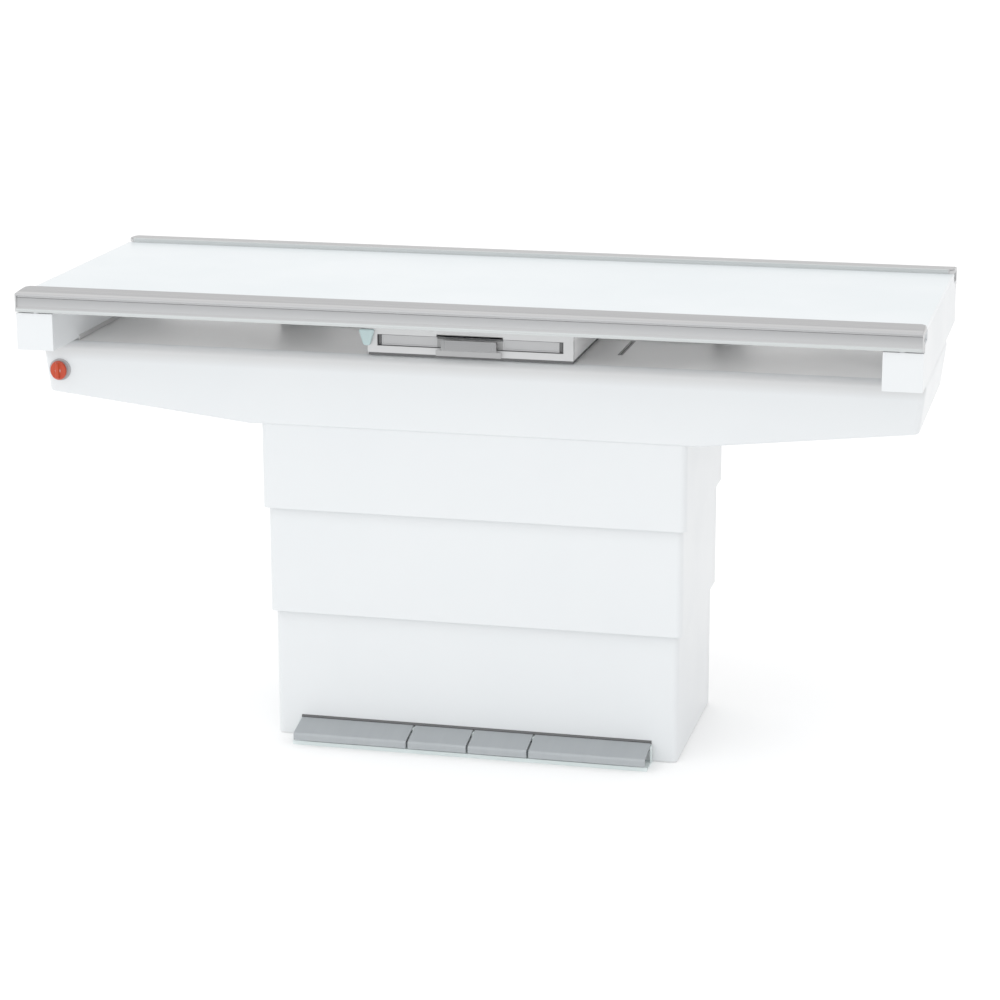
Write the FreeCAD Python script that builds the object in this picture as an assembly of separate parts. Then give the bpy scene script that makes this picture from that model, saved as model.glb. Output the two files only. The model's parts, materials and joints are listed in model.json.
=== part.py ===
"""Height-adjustable radiography table with a floating top, a bucky and foot pedals.

Millimetres, +Z up, +X along the tabletop, -Y to the operator's side.
The origin is on the floor at the centre of the base. The table stands at its full height.
"""
import FreeCAD, Part
from FreeCAD import Vector
import os

# ---------------------------------------------------------------- driving dimensions
# heights, stacked from the floor
lower_cover_show = 299
middle_cover_show = 246
upper_cover_show = 195
body_depth = 168
deck_gap = 92
rail_height = 42

# travel
lift_travel = 350
cross_travel = 110
bucky_travel = 200

# tabletop
top_length = 2000
top_width = 790
panel_thick = 20
panel_seat = 16
end_plate = 5
panel_side_gap = 1
panel_rebate = 1
lip_gap = 0.5

# aluminium side rail section
rail_wall = 5
rail_shelf_depth = 50
rail_flange_depth = 24
rail_sheet = 3
lip_depth = 70
lip_rise = 5
rail_face_set_back = 4
bead_height = 7
bead_slope = 6
groove_depth = 2
groove_height = 5
lip_nose = 4
lip_edge = 1.5
lip_chamfer = 2
groove_chamfer = 1
rail_cap = 3
rail_cap_shy = 0.5
lip_corner = 14

# end beams under the tabletop
beam_width = 80
beam_drop = 86
beam_wall = 3
beam_gap = 3
beam_set_back = 5
spacer_radius = 6
post_radius = 15
post_pitch = 300

# boat-shaped body
body_length = 1996
body_width = 510
body_end_draft = 15
body_end_height = 116
body_flat_length = 1024
body_sheet = 2.5
shoulder_radius = 18
body_corner_radius = 14
keel_radius = 6
cable_slot_place = 311
cable_slot_start = -123
cable_slot_length = 149
cable_slot_width = 5

# telescoping covers
lower_cover_length = 934
lower_cover_width = 442
cover_step_x = 8.5
cover_step_y = 14
cover_sheet = 2
cover_bend = 14
cover_overlap = 46
cover_hem = 4
floor_clearance = 4

# lift columns
column_pitch = 580
outer_tube = 150
middle_tube = 130
inner_tube = 110
outer_wall = 6
middle_wall = 5
inner_wall = 5
column_overlap = 92
inner_tube_top = 800
head_plate = 170
head_plate_thick = 10
glide_clearance = 0.3
glide_height = 60
bridge_thick = 6
bridge_width = 70

# lift drive
screw_radius = 12.5
screw_clearance = 0.05
screw_top = 535
screw_passage_radius = 20
bevel_small = 12
bevel_large = 24
bevel_gap = 0.4
nut_height = 30
shaft_radius = 10
shaft_clearance = 0.05
shaft_height = 50
gearbox_side = 80
gearbox_height = 70
gearbox_wall = 8
motor_length = 120
motor_width = 90
motor_height = 75
motor_barrel_radius = 34
motor_barrel_length = 130
motor_corner = 8

# base
base_thick = 15
anchor_pitch_x = 800
anchor_pitch_y = 340
anchor_radius = 7
control_length = 200
control_width = 60
control_height = 180
control_stand_off = 20
inlet_width = 48
inlet_height = 28
inlet_depth = 30
inlet_rim = 4
inlet_wall = 5
inlet_socket = 18
inlet_gap = 0.3

# foot pedals
pedal_widths = (270, 140, 140, 270)
pedal_joint = 5
pedal_reach = 76
pedal_rear_gap = 5
pedal_rear_height = 45
pedal_front_height = 30
pedal_lip = 17
pedal_sheet = 3
pedal_pin_radius = 4
pedal_pin_clearance = 0.1
pedal_knuckle_radius = 7
pedal_pin_inset = 11
pedal_pin_height = 35
pedal_bracket_thick = 4
pedal_strip_height = 9
pedal_strip_set_back = 8
pedal_lug = 3
switch_height = 20
switch_plunger_radius = 3
switch_length = 30
switch_width = 14
switch_plunger = 7
switch_set_back = 25

# upper frame
frame_tube_width = 50
frame_tube_height = 60
frame_tube_wall = 3
frame_tube_pitch = 300
frame_end_gap = 68
saddle_width = 30
saddle_pitch = 120
cross_member_inset = 30

# cross carriage, which carries the tabletop and moves across the body
arm_pitch = 1020
arm_width = 40
arm_front = -300
arm_rear = 340
arm_shallow = 6
arm_taper_start = -240
arm_taper_end = -60
tie_width = 60
rear_tie_depth = 10
guide_pitch = 540
guide_width = 20
guide_height = 15
guide_clearance = 0.3
guide_engagement = 10
cross_rail_start = -40
cross_block_places = (100, 200)
cross_block_body = 23
top_block_body = 15
block_length = 60
block_width = 48
top_block_pitch = 1000
brake_air_gap = 0.4
brake_length = 80
brake_width = 40
cross_brake_length = 34
cross_brake_width = 36

# bucky
bucky_width = 464
bucky_set_back = 5
bucky_lift = 8
bucky_height = 58
bucky_sheet = 2
bucky_step_y = 50
bucky_step_rise = 15
bezel_depth = 12
bezel_height = 54
bezel_low_band = 15
opening_width = 420
opening_height = 26
finger_slot_width = 150
finger_slot_rise = 5
bucky_rail_places = (95, 205)
bucky_rail_end_gap = 6
bucky_rail_width = 15
bucky_rail_height = 12
bucky_block_pitch = 300
bucky_block_length = 50
bucky_block_width = 34
bucky_block_gap = 2
ledge_depth = 20
ledge_rise = 46
grid_thick = 6
grid_side_room = 9
grid_end_room = 13
grid_gap = 0.3
chamber_thick = 5
chamber_side_room = 15
chamber_end_room = 58

# cassette tray
tray_side_room = 27
tray_rear_room = 20
tray_sheet = 2
tray_rise = 20
tray_wall_height = 14
tray_flange = 5
tray_clearance = 0.3
tray_front_thick = 4
tray_front_set_back = 4
tray_front_side_gap = 10
tray_front_margin = 1.5
finger_slot_drop = 5
runner_low = 3
runner_gap = 1
runner_lip = 3.5
pull_sheet = 3
pull_width = 124
pull_lip_width = 148
pull_lip_height = 10
pull_reach = 12
pull_drop = 2
pull_web_drop = 9
jaw_thick = 6
jaw_length = 120
jaw_height = 12
lever_inset = 10
lever_rise = 44
lever_pin_radius = 4
lever_pin_clearance = 0.05
lever_top_width = 36
lever_foot_width = 15
lever_length = 36
lever_shift = 10
lever_head = 8
lever_thick = 8
lever_stand_off = 2
lever_corner = 5

# emergency stop on the front cover
stop_end_distance = 43
stop_drop = 65
stop_collar_radius = 25
stop_collar_thick = 4
stop_stem_radius = 9
stop_stem_clearance = 0.2
stop_stem_length = 30
stop_body_radius = 15
stop_body_length = 34
stop_neck_gap = 6
stop_head_radius = 22
stop_head_thick = 14
stop_head_bend = 5
stop_spigot_radius = 6
stop_barrel_radius = 11
stop_hole_gap = 0.3
stop_spigot_gap = 0.05

# ---------------------------------------------------------------- levels and places worked out
z_middle = lower_cover_show
z_upper = z_middle + middle_cover_show
z_keel = z_upper + upper_cover_show
z_deck = z_keel + body_depth
z_rail = z_deck + deck_gap
z_panel_low = z_rail + panel_seat
z_panel = z_panel_low + panel_thick
y_edge = top_width / 2
x_edge = top_length / 2
x_beam = x_edge - end_plate
body_front = -body_width / 2
stop_x = -body_length / 2 + stop_end_distance
z_stop = z_deck - stop_drop
y_seam = body_front + shoulder_radius
x_seam = body_length / 2 - shoulder_radius

lower_cover_top = z_middle + cover_overlap
middle_cover_top = z_upper + cover_overlap
middle_tube_low = lower_cover_top - column_overlap
inner_tube_low = middle_cover_top - column_overlap
columns_x = (-column_pitch / 2, column_pitch / 2)
cover_face = -lower_cover_width / 2

z_guide = z_panel_low - guide_height
z_carriage = z_guide - top_block_body
z_cross_rail = z_deck + cross_block_body
z_arm_low = z_cross_rail + guide_height
arms_x = (-arm_pitch / 2, arm_pitch / 2)

bucky_front = body_front + bucky_set_back
bucky_rear = -bucky_front
z_bucky = z_deck + bucky_lift
z_opening = z_bucky + bezel_low_band
z_opening_top = z_opening + opening_height
z_tray = z_bucky + tray_rise
z_ledge = z_bucky + ledge_rise
bucky_back_of_bezel = bucky_front + bezel_depth
tray_front_face = bucky_front + tray_front_set_back
tray_start = tray_front_face + tray_front_thick
pull_top = z_opening_top - finger_slot_drop
bucky_inside = bucky_width - 2 * bucky_sheet
tray_width = bucky_inside - 2 * tray_side_room
tray_length = bucky_rear - bucky_sheet - tray_rear_room - tray_start
tray_front_width = opening_width - 2 * tray_front_side_gap
grid_length = bucky_inside - 2 * grid_side_room
grid_width = -2 * (bucky_back_of_bezel + grid_end_room)
chamber_length = bucky_inside - 2 * chamber_side_room
chamber_width = -2 * (bucky_back_of_bezel + chamber_end_room)

pedal_back = cover_face - pedal_rear_gap
pedal_toe = cover_face - pedal_reach
pedal_pin_y = cover_face - pedal_pin_inset
pedal_edges = [sum(pedal_widths[:n]) - sum(pedal_widths) / 2 for n in range(len(pedal_widths) + 1)]


# ---------------------------------------------------------------- helpers
def box(x0, x1, y0, y1, z0, z1):
    """A box between two corners."""
    return Part.makeBox(x1 - x0, y1 - y0, z1 - z0, Vector(x0, y0, z0))


def block(length, width, z0, z1, x=0, y=0):
    """A box centred on x, y."""
    return box(x - length / 2, x + length / 2, y - width / 2, y + width / 2, z0, z1)


def rod(radius, start, axis, length):
    """A round bar from a point along an axis."""
    return Part.makeCylinder(radius, length, Vector(*start), Vector(*axis))


def prism(points, along):
    """A flat closed outline pushed along a vector."""
    wire = Part.makePolygon([Vector(*p) for p in points] + [Vector(*points[0])])
    return Part.Face(wire).extrude(Vector(*along))


def mirror_x(shape):
    return shape.mirror(Vector(0, 0, 0), Vector(1, 0, 0))


def mirror_y(shape):
    return shape.mirror(Vector(0, 0, 0), Vector(0, 1, 0))


def half_turn(shape):
    """The same piece at the other end of the table."""
    turned = shape.copy()
    turned.rotate(Vector(0, 0, 0), Vector(0, 0, 1), 180)
    return turned


def round_upright(solid, radius):
    """Rounds the vertical edges of a box."""
    edges = [e for e in solid.Edges if abs(e.tangentAt(e.FirstParameter).z) > 0.99]
    return solid.makeFillet(radius, edges)


def save(name, shapes):
    """Writes one node as a STEP file."""
    shape = shapes[0] if len(shapes) == 1 else Part.makeCompound(shapes)
    shape.exportStep(os.path.join("parts", name + ".step"))
    print(name, len(shape.Solids), "solid(s)" if shape.isValid() else "NOT VALID")


# ---------------------------------------------------------------- tabletop
def rail_outline(x):
    """The rail section as (x, y, z) points; it is open under the lip, where the panel goes in."""
    lip_top = rail_height + lip_rise
    nose_top = rail_height - lip_edge
    groove_top = nose_top - lip_nose
    groove_low = groove_top - groove_height
    face = rail_face_set_back
    groove_floor = face + groove_depth
    inside = face + rail_wall
    seat_top = panel_seat + panel_thick - panel_rebate
    section = [
        (0, 0), (0, bead_height), (face, bead_height + bead_slope), (face, groove_low),
        (groove_floor, groove_low + groove_chamfer), (groove_floor, groove_top - groove_chamfer),
        (0, groove_top), (0, nose_top), (lip_chamfer, rail_height), (lip_depth - lip_chamfer, lip_top),
        (lip_depth, lip_top - lip_edge), (lip_depth, seat_top), (lip_depth - rail_sheet, seat_top),
        (lip_depth - rail_sheet, lip_top - rail_sheet), (inside, rail_height - rail_sheet),
        (inside, panel_seat), (rail_shelf_depth, panel_seat), (rail_shelf_depth, panel_seat - rail_sheet),
        (inside, panel_seat - rail_sheet), (inside, rail_sheet), (rail_flange_depth, rail_sheet),
        (rail_flange_depth, 0),
    ]
    return [(x, -y_edge + depth, z_rail + up) for depth, up in section]


def lip_corner_cut():
    """What takes the inner corner of the lip off at the right-hand end."""
    inner = -y_edge + lip_depth
    points = [(x_edge + 1, inner + 1, z_rail), (x_edge - lip_corner, inner + 1, z_rail),
              (x_edge + 1, inner - lip_corner, z_rail)]
    return prism(points, (0, 0, 2 * rail_height))


def front_rail():
    half = x_edge - rail_cap
    rail = prism(rail_outline(-half), (2 * half, 0, 0))
    corner = lip_corner_cut()
    return rail.cut(corner).cut(mirror_x(corner))


def rail_cap_plate():
    """A plug over the end of the front rail, at the right-hand end."""
    inner = lip_depth - lip_corner - rail_cap
    lip_there = rail_height + lip_rise * inner / lip_depth
    seat_top = panel_seat + panel_thick - panel_rebate
    past_wall = rail_face_set_back + rail_wall + panel_side_gap
    shelf_low = panel_seat - rail_sheet
    shy = rail_cap_shy
    section = [(shy, 0), (shy, rail_height - lip_edge - shy), (lip_chamfer + shy, rail_height - shy),
               (inner, lip_there - shy), (inner, seat_top), (past_wall, seat_top), (past_wall, shelf_low),
               (rail_flange_depth, shelf_low), (rail_flange_depth, 0)]
    points = [(x_edge - rail_cap, -y_edge + depth, z_rail + up) for depth, up in section]
    return prism(points, (rail_cap, 0, 0))


def rail_caps():
    right = [rail_cap_plate(), mirror_y(rail_cap_plate())]
    return right + [mirror_x(cap) for cap in right]


def tabletop_panel():
    """A flat panel, rebated along both sides where the rails' lips come down on it."""
    half_width = y_edge - rail_face_set_back - rail_wall - panel_side_gap
    half_face = y_edge - lip_depth - lip_gap
    panel = box(-x_beam, x_beam, -half_width, half_width, z_panel_low, z_panel - panel_rebate)
    return panel.fuse(box(-x_beam, x_beam, -half_face, half_face, z_panel_low, z_panel)).removeSplitter()


def end_beam():
    """The right-hand beam: a closed box section with an apron that covers the panel's end."""
    half = y_edge - beam_set_back
    top = z_rail - beam_gap
    low = z_rail - beam_drop
    wall = beam_wall
    inner_x = x_beam - beam_width
    beam = box(inner_x, x_beam, -half, half, low, top)
    beam = beam.cut(box(inner_x + wall, x_beam - wall, -half + wall, half - wall, low + wall, top - wall))
    past_rail = y_edge - rail_flange_depth - rail_cap
    past_lip = y_edge - lip_depth - lip_gap
    beam = beam.fuse(box(x_beam, x_edge, -half, half, low, top))
    beam = beam.fuse(box(x_beam, x_edge, -past_rail, past_rail, top, z_rail + panel_seat - rail_sheet))
    beam = beam.fuse(box(x_beam, x_edge, -past_lip, past_lip, top, z_panel))
    x_post = x_beam - beam_width / 2
    for side in (-1, 1):
        y_rail = side * (y_edge - rail_flange_depth / 2)
        beam = beam.fuse(rod(spacer_radius, (x_post, y_rail, top), (0, 0, 1), beam_gap))
        beam = beam.fuse(rod(post_radius, (x_post, side * post_pitch / 2, top), (0, 0, 1), z_panel_low - top))
    return beam.removeSplitter()


def guide_rails():
    length = 2 * (x_beam - beam_width)
    return [block(length, guide_width, z_guide, z_panel_low, 0, side * guide_pitch / 2) for side in (-1, 1)]


# ---------------------------------------------------------------- body covers
def boat(inset):
    """The boat-shaped body, or its inner surface when inset by the sheet."""
    end = body_length / 2
    outline = [(end, z_deck), (end - body_end_draft, z_deck - body_end_height),
               (body_flat_length / 2, z_keel)]
    points = [(x, body_front, z) for x, z in outline] + [(-x, body_front, z) for x, z in reversed(outline)]
    face = Part.Face(Part.makePolygon([Vector(*p) for p in points] + [Vector(*points[0])]))
    if inset:
        face = Part.Face(face.makeOffset2D(-inset, 2).OuterWire)
    face.translate(Vector(0, inset, 0))
    solid = face.extrude(Vector(0, body_width - 2 * inset, 0))
    upright = [e for e in solid.Edges if abs(e.tangentAt(e.FirstParameter).z) > 0.9]
    solid = solid.makeFillet(body_corner_radius - inset, upright)
    rim = [e for e in solid.Edges if abs(e.BoundBox.ZMin - z_deck + inset) < 0.01]
    solid = solid.makeFillet(shoulder_radius - inset, rim)
    face_y = body_width / 2 - inset
    keel = [e for e in solid.Edges
            if e.BoundBox.ZMax < (z_keel + z_deck) / 2 and abs(abs(e.CenterOfMass.y) - face_y) < 0.1]
    return solid.makeFillet(keel_radius - inset, keel)


def cover_size(step):
    """Outer length and width of a column cover; step 0 is the lower one, 2 the upper one."""
    return lower_cover_length + 2 * step * cover_step_x, lower_cover_width + 2 * step * cover_step_y


def body_pieces():
    """The body's skin, split where its covers meet: by name."""
    skin = boat(0).cut(boat(body_sheet))
    length, width = cover_size(2)
    well = block(length - 2 * cover_sheet, -2 * y_seam, z_keel - 1, z_keel + body_sheet + 1)
    skin = skin.cut(well)
    far = body_length
    front = skin.common(box(-far, far, body_front - 1, y_seam, 0, z_rail))
    middle = skin.common(box(-far, far, y_seam, -y_seam, 0, z_rail))
    split = z_deck - shoulder_radius
    slot_end = cable_slot_start + cable_slot_length
    cable_slot = box(cable_slot_place - cable_slot_width / 2, cable_slot_place + cable_slot_width / 2,
                     cable_slot_start, slot_end, split, z_rail)
    stop_hole = rod(stop_barrel_radius + stop_hole_gap, (stop_x, body_front - 1, z_stop), (0, 1, 0),
                    body_sheet + 2)
    pieces = {
        "front_cover": front.cut(stop_hole),
        "rear_cover": mirror_y(front),
        "deck_pan": middle.common(box(-x_seam, x_seam, y_seam, -y_seam, split, z_rail)).cut(cable_slot),
        "bottom_pans": middle.common(box(-x_seam, x_seam, y_seam, -y_seam, 0, split)),
        "end_covers": middle.cut(box(-x_seam, x_seam, y_seam, -y_seam, 0, z_rail)),
    }
    return pieces


def column_cover(step, z0, z1, hem):
    """A square sheet-metal tube with bent corners; a hem turns in at its lower edge."""
    length, width = cover_size(step)
    sheet = cover_sheet
    outside = round_upright(block(length, width, z0, z1), cover_bend)
    inside = round_upright(block(length - 2 * sheet, width - 2 * sheet, z0, z1), cover_bend - sheet)
    cover = outside.cut(inside)
    if hem:
        window = block(length - 2 * (sheet + hem), width - 2 * (sheet + hem), z0, z0 + sheet)
        flange = round_upright(block(length, width, z0, z0 + sheet), cover_bend).cut(window)
        cover = cover.fuse(flange).removeSplitter()
    return cover


def lower_cover():
    cover = column_cover(0, floor_clearance, lower_cover_top, 0)
    return cover.cut(inlet_box(inlet_gap, cover_sheet + 1))


# ---------------------------------------------------------------- base
def base_plate():
    length, width = cover_size(0)
    plate = block(length - 2 * cover_sheet, width - 2 * cover_sheet, 0, base_thick)
    plate = round_upright(plate, cover_bend - cover_sheet)
    for x in (-anchor_pitch_x / 2, anchor_pitch_x / 2):
        for y in (-anchor_pitch_y / 2, anchor_pitch_y / 2):
            plate = plate.cut(rod(anchor_radius, (x, y, -1), (0, 0, 1), base_thick + 2))
    return plate


def inlet_box(clearance, reach):
    """The mains inlet's body, grown by a clearance, from inside the rear sheet outwards."""
    x = columns_x[1]
    rear = -cover_face - cover_sheet
    half_w = inlet_width / 2 + clearance
    half_h = inlet_height / 2 + clearance
    z = base_thick + inlet_height
    return box(x - half_w, x + half_w, rear - inlet_depth, rear + reach, z - half_h, z + half_h)


def mains_inlet():
    """A recessed three-blade inlet in a flange on the rear sheet."""
    x = columns_x[1]
    z = base_thick + inlet_height
    rear = -cover_face
    half_w = inlet_width / 2
    half_h = inlet_height / 2
    flange = box(x - half_w - inlet_rim, x + half_w + inlet_rim, rear, rear + cover_sheet,
                 z - half_h - inlet_rim, z + half_h + inlet_rim)
    body = inlet_box(0, cover_sheet).fuse(flange)
    socket = box(x - half_w + inlet_wall, x + half_w - inlet_wall, rear - inlet_socket,
                 rear + cover_sheet + 1, z - half_h + inlet_wall, z + half_h - inlet_wall)
    return body.cut(socket).removeSplitter()


def square_tube(side, wall, z0, z1, x):
    """An upright square tube with rounded corners, centred on x."""
    bore = side - 2 * wall
    outside = round_upright(block(side, side, z0, z1, x), wall * 1.5)
    return outside.cut(round_upright(block(bore, bore, z0, z1, x), wall / 2))


def outer_tubes():
    passage = rod(shaft_radius + 2, (columns_x[0], 0, shaft_height), (1, 0, 0), column_pitch)
    tubes = [square_tube(outer_tube, outer_wall, base_thick, lower_cover_top, x) for x in columns_x]
    return [tube.cut(passage) for tube in tubes]


def gearboxes():
    """A housing at the foot of each screw; the drive shaft comes in from the middle."""
    boxes = []
    top = base_thick + gearbox_height
    for x in columns_x:
        housing = round_upright(block(gearbox_side, gearbox_side, base_thick, top, x), gearbox_wall)
        cavity = gearbox_side - 2 * gearbox_wall
        housing = housing.cut(block(cavity, cavity, base_thick + gearbox_wall, top - gearbox_wall, x))
        screw_bore = rod(screw_radius + screw_clearance, (x, 0, shaft_height), (0, 0, 1), gearbox_height)
        towards_middle = -x / abs(x)
        shaft_bore = rod(shaft_radius + shaft_clearance, (x, 0, shaft_height), (towards_middle, 0, 0),
                         gearbox_side)
        boxes.append(housing.cut(screw_bore).cut(shaft_bore))
    return boxes


def lift_screw(x):
    """A screw with a bevel wheel on its lower end."""
    start = shaft_height + bevel_small
    screw = rod(screw_radius, (x, 0, start), (0, 0, 1), screw_top - start)
    wheel = Part.makeCone(bevel_small - bevel_gap, bevel_large - bevel_gap, bevel_large - bevel_small,
                          Vector(x, 0, start), Vector(0, 0, 1))
    return screw.fuse(wheel).removeSplitter()


def drive_shaft():
    """The shaft between the gearboxes, with a bevel wheel at each end."""
    half = column_pitch / 2 - bevel_small
    shaft = rod(shaft_radius, (-half, 0, shaft_height), (1, 0, 0), 2 * half)
    for side in (-1, 1):
        wheel = Part.makeCone(bevel_small - bevel_gap, bevel_large - bevel_gap, bevel_large - bevel_small,
                              Vector(side * half, 0, shaft_height), Vector(-side, 0, 0))
        shaft = shaft.fuse(wheel)
    return shaft.removeSplitter()


def lift_motor():
    """A geared motor on the shaft, its barrel to the rear."""
    motor = round_upright(block(motor_length, motor_width, base_thick, base_thick + motor_height),
                          motor_corner)
    z_barrel = base_thick + motor_height / 2
    barrel = rod(motor_barrel_radius, (0, motor_width / 2, z_barrel), (0, 1, 0), motor_barrel_length)
    bore = rod(shaft_radius + shaft_clearance, (-motor_length, 0, shaft_height), (1, 0, 0), 2 * motor_length)
    return motor.fuse(barrel).cut(bore)


def control_box():
    y = -(motor_width + control_width) / 2 - control_stand_off
    return block(control_length, control_width, base_thick, base_thick + control_height, 0, y)


# ---------------------------------------------------------------- foot pedals
def pedal(left, right):
    """A sloping tread with a lip in front and a knuckle on the pin."""
    x0 = left + pedal_joint / 2
    x1 = right - pedal_joint / 2
    slope = (pedal_rear_height - pedal_front_height) / (pedal_back - pedal_toe)
    under_toe = pedal_front_height + slope * pedal_sheet - pedal_sheet
    outline = [(pedal_back, pedal_rear_height), (pedal_toe, pedal_front_height),
               (pedal_toe, pedal_front_height - pedal_lip),
               (pedal_toe + pedal_sheet, pedal_front_height - pedal_lip),
               (pedal_toe + pedal_sheet, under_toe), (pedal_back, pedal_rear_height - pedal_sheet)]
    tread = prism([(x0, y, z) for y, z in outline], (x1 - x0, 0, 0))
    pin_place = (x0, pedal_pin_y, pedal_pin_height)
    tread = tread.fuse(rod(pedal_knuckle_radius, pin_place, (1, 0, 0), x1 - x0))
    pin_hole = rod(pedal_pin_radius + pedal_pin_clearance, pin_place, (1, 0, 0), x1 - x0)
    return tread.cut(pin_hole).removeSplitter()


def pedal_bracket():
    """A foot plate under the cover's edge with a front strip and a lug beside each pedal."""
    half = sum(pedal_widths) / 2 + pedal_lug / 2
    thick = pedal_bracket_thick
    rear = cover_face + cover_sheet
    strip_face = pedal_toe + pedal_strip_set_back
    bracket = box(-half, half, strip_face, rear, 0, thick)
    bracket = bracket.fuse(box(-half, half, strip_face, strip_face + pedal_lug, 0, pedal_strip_height))
    for x in pedal_edges:
        lug = box(x - pedal_lug / 2, x + pedal_lug / 2, pedal_pin_y - pedal_knuckle_radius, pedal_back,
                  thick, pedal_pin_height + pedal_pin_radius + pedal_lug / 2)
        bracket = bracket.fuse(lug)
    return bracket.cut(pedal_pin()).removeSplitter()


def pedal_pin():
    half = sum(pedal_widths) / 2 + pedal_lug / 2
    return rod(pedal_pin_radius, (-half, pedal_pin_y, pedal_pin_height), (1, 0, 0), 2 * half)


def pedal_switches():
    """A small switch under the front of each tread."""
    switches = []
    y = pedal_toe + switch_set_back
    for left, right in zip(pedal_edges, pedal_edges[1:]):
        x = (left + right) / 2
        switch = block(switch_length, switch_width, pedal_bracket_thick, switch_height, x, y)
        plunger = rod(switch_plunger_radius, (x, y, switch_height), (0, 0, 1), switch_plunger)
        switches.append(switch.fuse(plunger))
    return switches


# ---------------------------------------------------------------- column stages
def middle_tubes():
    """Both middle tubes, tied together and to the middle cover by a welded bridge."""
    length, width = cover_size(1)
    inner_length = length - 2 * cover_sheet
    inner_width = width - 2 * cover_sheet
    z0 = middle_cover_top - bridge_thick
    weldment = block(inner_length, bridge_width, z0, middle_cover_top)
    for x in columns_x:
        weldment = weldment.fuse(block(bridge_width, inner_width, z0, middle_cover_top, x))
        weldment = weldment.fuse(square_tube(middle_tube, middle_wall, middle_tube_low, middle_cover_top, x))
    bore = middle_tube - 2 * middle_wall
    for x in columns_x:
        opening = block(bore, bore, z0 - 1, middle_cover_top + 1, x)
        weldment = weldment.cut(round_upright(opening, middle_wall / 2))
    return weldment.removeSplitter()


def glides(tube, gap, z_low):
    """Pads on the four sides of each tube, a running clearance short of the tube around them."""
    pads = []
    thick = gap - glide_clearance
    z0 = z_low + glide_clearance
    width = tube / 2
    for x in columns_x:
        for side in (-1, 1):
            middle = side * (tube + thick) / 2
            pads.append(block(thick, width, z0, z0 + glide_height, x + middle, 0))
            pads.append(block(width, thick, z0, z0 + glide_height, x, middle))
    return pads


def inner_tubes():
    """The inner tubes with their head plates; the screw rises through the head as the table sinks."""
    tubes = []
    for x in columns_x:
        tube = square_tube(inner_tube, inner_wall, inner_tube_low, inner_tube_top, x)
        head = block(head_plate, head_plate, inner_tube_top, inner_tube_top + head_plate_thick, x)
        passage = rod(screw_passage_radius, (x, 0, inner_tube_top - 1), (0, 0, 1), head_plate_thick + 2)
        tubes.append(tube.fuse(head.cut(passage)).removeSplitter())
    return tubes


def lift_nuts():
    side = inner_tube - 2 * inner_wall
    nuts = []
    for x in columns_x:
        nut = round_upright(block(side, side, inner_tube_low, inner_tube_low + nut_height, x), inner_wall / 2)
        thread = rod(screw_radius + screw_clearance, (x, 0, inner_tube_low - 1), (0, 0, 1), nut_height + 2)
        nuts.append(nut.cut(thread))
    return nuts


# ---------------------------------------------------------------- upper frame
def tube_along_x(x0, x1, y, z0, z1, width):
    wall = frame_tube_wall
    tube = box(x0, x1, y - width / 2, y + width / 2, z0, z1)
    return tube.cut(box(x0, x1, y - width / 2 + wall, y + width / 2 - wall, z0 + wall, z1 - wall))


def tube_along_y(x, y0, y1, z0, z1, width):
    wall = frame_tube_wall
    tube = box(x - width / 2, x + width / 2, y0, y1, z0, z1)
    return tube.cut(box(x - width / 2 + wall, x + width / 2 - wall, y0, y1, z0 + wall, z1 - wall))


def upper_frame():
    """Two long tubes under the deck, cross members between them and saddles on the column heads."""
    top = z_deck - body_sheet
    low = top - frame_tube_height
    head = inner_tube_top + head_plate_thick
    half_pitch = frame_tube_pitch / 2
    half_inside = half_pitch - frame_tube_width / 2
    reach = half_pitch + frame_tube_width / 2
    half_length = body_length / 2 - frame_end_gap
    half_cross = half_length - cross_member_inset
    members = [tube_along_x(-half_length, half_length, side * half_pitch, low, top, frame_tube_width)
               for side in (-1, 1)]
    members += [tube_along_y(side * half_cross, -half_inside, half_inside, low, top, frame_tube_width)
                for side in (-1, 1)]
    members += [tube_along_y(x + side * saddle_pitch / 2, -reach, reach, head, low, saddle_width)
                for x in columns_x for side in (-1, 1)]
    return members[0].multiFuse(members[1:]).removeSplitter()


# ---------------------------------------------------------------- cross carriage
def carriage_frame():
    """Two arms across the table, deep at the rear and shallow in front, and a tie bar at each end."""
    shallow = z_carriage - arm_shallow
    side_view = [(arm_front, shallow), (arm_taper_start, shallow), (arm_taper_end, z_arm_low),
                 (arm_rear, z_arm_low), (arm_rear, z_carriage), (arm_front, z_carriage)]
    arms = [prism([(x - arm_width / 2, y, z) for y, z in side_view], (arm_width, 0, 0)) for x in arms_x]
    reach = arm_pitch + arm_width
    front_tie = block(reach, tie_width, shallow, z_carriage, 0, -guide_pitch / 2)
    rear_tie = block(reach, tie_width, z_carriage - rear_tie_depth, z_carriage, 0, guide_pitch / 2)
    return arms[0].multiFuse([arms[1], front_tie, rear_tie]).removeSplitter()


def cross_rails():
    return [box(x - guide_width / 2, x + guide_width / 2, cross_rail_start, arm_rear, z_cross_rail, z_arm_low)
            for x in arms_x]


def cross_bearings():
    """Blocks on the deck with an open channel for the carriage's rails."""
    blocks = []
    half = guide_width / 2 + guide_clearance
    for x in arms_x:
        for y in cross_block_places:
            bearing = block(block_width, block_length, z_deck, z_cross_rail + guide_engagement, x, y)
            channel = box(x - half, x + half, y - block_length, y + block_length,
                          z_cross_rail - guide_clearance, z_arm_low)
            blocks.append(bearing.cut(channel))
    return blocks


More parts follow.
